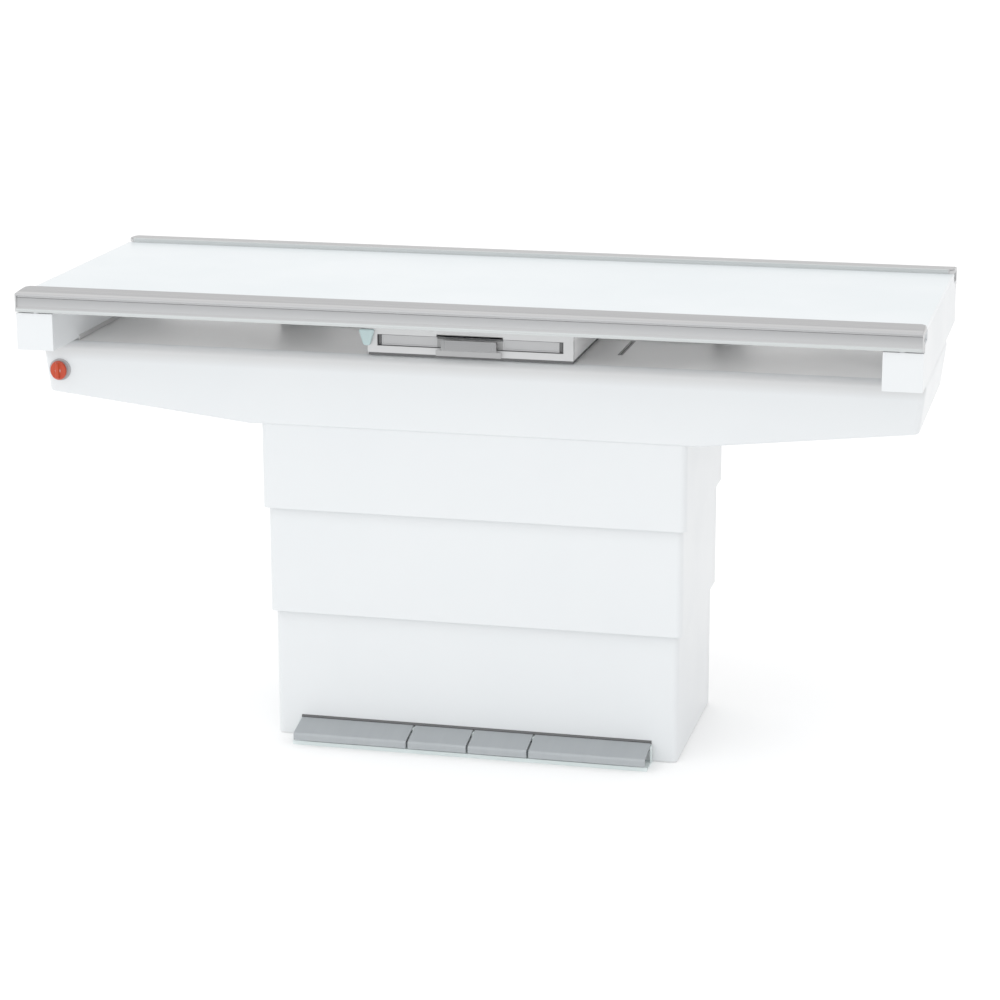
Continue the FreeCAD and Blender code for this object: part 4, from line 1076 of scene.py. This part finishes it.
def buildPull():
    low, high = nodeBox("tray_pull")
    half, lipHalf, lipTop = pull["half"], pull["lipHalf"], pull["lipTop"]
    foot, top, inner, lip = low.z + pull["lipRise"], pull["topCorner"], pull["innerCorner"], pull["lipCorner"]
    outline = [(-half, high.z, top), (half, high.z, top), (half, lipTop, inner), (lipHalf, lipTop, lip),
               (lipHalf, foot, lip), (-lipHalf, foot, lip), (-lipHalf, lipTop, lip), (-half, lipTop, inner)]
    points = [((x, low.y, z), radius) for x, z, radius in outline]
    piece = drawOutline("trayPull", points, (0, 1, 0), pull["sheet"])
    behind = low.y + pull["sheet"] - pull["sunk"]
    edge, rear = pull["edge"], behind + pull["flange"]
    edgeFoot, edgeTop = lipTop + pull["edgeFoot"], high.z - pull["edgeTop"]
    inset, (under, over) = pull["shelfInset"], pull["shelf"]
    for part in (((-half, behind, edgeFoot), (-half + edge, rear, edgeTop)),
                 ((half - edge, behind, edgeFoot), (half, rear, edgeTop)),
                 ((-half + inset, behind, high.z - under), (half - inset, high.y, high.z - over))):
        combine(piece, addBlock("flange", *part), "UNION")
    line, front = pull["line"], low.y - beyond
    for x in (-pull["crease"], pull["crease"]):
        cutBlock(piece, (x - line, front, edgeFoot), (x + line, low.y + line, high.z + beyond))
    cutBlock(piece, (-half - beyond, front, lipTop - line), (half + beyond, low.y + line, lipTop + line))
    soften(piece, pull["softEdge"])
    finishPiece(piece, "cassette_tray", "tray_grey", ("tray_pull",))
    paintWhole(piece, "lipGrey")
    paintFaces(piece, ["pullGrey"], lambda face: 1 if face.center.z / mm > lipTop else 0)


lever = {"thick": 8, "corner": 5, "bulge": 3.2, "bulgeSteps": 5, "softEdge": 0.8,
         "top": (-250, -214, 968), "foot": (-239.5, -224.5, 932),
         "stub": 4, "stubPlace": (-222, 960), "stubSides": 32, "sunk": 0.5}


def buildLever():
    low, high = nodeBox("bucky_lever")
    left, right, top = lever["top"]
    footLeft, footRight, foot = lever["foot"]
    outline = [(left, top), (right, top), (footRight, foot), (footLeft, foot)]
    points = [((x, low.y, z), lever["corner"]) for x, z in outline]
    paddle = drawOutline("buckyLever", points, (0, 1, 0), lever["thick"])
    edit(paddle, "EDGE")
    pickEdges(paddle, lambda middle, way: middle.y < low.y + near and abs(way.y) < near)
    bpy.ops.mesh.bevel(offset=lever["bulge"] * mm, segments=lever["bulgeSteps"], affect="EDGES")
    leaveEdit()
    soften(paddle, lever["softEdge"])
    x, z = lever["stubPlace"]
    start = low.y + lever["thick"] - lever["sunk"]
    stub = addRound("stub", lever["stub"], (x, start, z), high.y - start, vertices=lever["stubSides"])
    combine(paddle, stub, "UNION")
    finishPiece(paddle, "lock_lever", "lever_cyan", ("bucky_lever",))


buckySeal = {"drop": 7, "front": (-247, -239), "back": 50, "thick": 3, "frontInset": 1, "sideInset": 0.5,
             "frontTaper": (1, 0.8, 1), "sideTaper": (0.6, 1, 1), "softEdge": 0.6}


def buildBuckyShadowStrip():
    # a dark strip under the frame and along the housing's sides, painted shade for the shadow gap between the
    # bucky and the deck
    low, high = nodeBox("bucky_bezel")
    y0, y1 = buckySeal["front"]
    bottom, inset = low.z - buckySeal["drop"], buckySeal["frontInset"]
    strips = [addBlock("strip", (low.x + inset, y0, bottom), (high.x - inset, y1, low.z))]
    outer = high.x - buckySeal["sideInset"]
    for side in (-1, 1):
        x0, x1 = sorted((side * outer, side * (outer - buckySeal["thick"])))
        strips.append(addBlock("strip", (x0, y1, bottom), (x1, buckySeal["back"], low.z)))
    for strip in strips:
        edit(strip)
        pickFaces(strip, lambda co, normal: normal.z < -square)
        bpy.ops.transform.resize(value=buckySeal["frontTaper" if strip == strips[0] else "sideTaper"])
        leaveEdit()
        soften(strip, buckySeal["softEdge"])
    finishPiece(joined("buckySeal", strips), "bucky", "black_plastic")


buildTrim()
buildFingerRecess()
buildTrayFront()
buildPull()
buildLever()
buildBuckyShadowStrip()
print("bucky front built")


# emergency stop and mains inlet
stop = {"narrow": 0.86, "body": 6.5, "sides": 72, "bend": 3.5, "bendSteps": 6, "softEdge": 1.0, "sharp": 28,
        "gripHalf": 6.5, "gripFoot": 2, "gripInset": 1.5, "gripTaper": (0.55, 1, 0.82), "gripSoft": 2.2,
        "gripSharp": 25, "spigot": 6.05, "spigotStart": 5, "spigotLength": 6, "spigotSides": 32, "smooth": 50}


def buildStopHead():
    # an oval knob: a flat dish with a raised grip across it, upright at rest
    low, high = nodeBox("stop_head")
    middle = (low + high) / 2
    radius = (high.x - low.x) / 2
    face = high.y - stop["body"]
    head = addRound("stopHead", radius, (0, face, 0), stop["body"], vertices=stop["sides"])
    edit(head, "EDGE")
    pickEdges(head, lambda place, way: place.y < face + near)
    bpy.ops.mesh.bevel(offset=stop["bend"] * mm, segments=stop["bendSteps"], affect="EDGES")
    leaveEdit()
    half, reach = stop["gripHalf"], radius - stop["gripInset"]
    grip = addBlock("grip", (-half, low.y, -reach), (half, face + stop["gripFoot"], reach))
    edit(grip)
    pickFaces(grip, lambda co, normal: normal.y < -square)
    bpy.ops.transform.resize(value=stop["gripTaper"])
    leaveEdit()
    soften(grip, stop["gripSoft"], 4, stop["gripSharp"])
    combine(head, grip, "UNION")
    soften(head, stop["softEdge"], 3, stop["sharp"])
    makeActive(head)
    head.scale = (stop["narrow"], 1, 1)
    head.location = (middle.x * mm, 0, middle.z * mm)
    applyPlace(head)
    start = (middle.x, high.y - stop["spigotStart"], middle.z)
    spigot = addRound("cutter", stop["spigot"], start, stop["spigotLength"], vertices=stop["spigotSides"])
    combine(head, spigot)
    finishPiece(head, "stop_button", "stop_red", ("stop_head",), stop["smooth"])


blades = {"size": (2, 15, 5), "places": ((283, 39.5), (297, 39.5), (290, 47)), "back": 203.5,
          "softEdge": 0.6}


def buildInletBlades():
    dx, dy, dz = blades["size"]
    first = addBlock("blade", (-dx / 2, blades["back"], -dz / 2), (dx / 2, blades["back"] + dy, dz / 2))
    soften(first, blades["softEdge"])
    pins = [copied(first, "blade", (x, 0, z)) for x, z in blades["places"]]
    bpy.data.objects.remove(first)
    finishPiece(joined("inletBlades", pins), "base", "rail_steel")


buildStopHead()
paintWhole(refine("stop_collar", 1.4, 3), "collarGrey")
refine("mains_inlet", 0.6)
buildInletBlades()
print("stop button and inlet built")


# the parts inside, and how far their edges are rounded
innerEdges = {
    "base_plate": 1.0, "control_box": 1.5, "outer_tubes": 0.5, "gearboxes": 1.0, "lift_motor": 1.0,
    "pedal_switches": 0.5, "middle_tubes": 0.5, "inner_tubes": 0.5, "upper_frame": 1.0,
    "carriage_frame": 1.0, "cross_rails": 0.5, "cross_bearings": 0.6, "tabletop_bearings": 0.6,
    "tabletop_brakes": 0.8, "cross_brakes": 0.8, "guide_rails": 0.5, "bucky_rails": 0.4,
    "bucky_bearings": 0.5, "bucky_housing": 0.4, "ion_chamber": 0.6, "grid": 0.6, "tray_runners": 0.2,
    "tray_pan": 0.3, "jaw_left": 1.0, "jaw_right": 1.0,
}
for nodeName, edgeWidth in innerEdges.items():
    refine(nodeName, edgeWidth)
print("inner parts refined")

for name, node in frame["nodes"].items():
    node.material_slots[0].material = materials[nodeSlot[name]]

aimLamps()
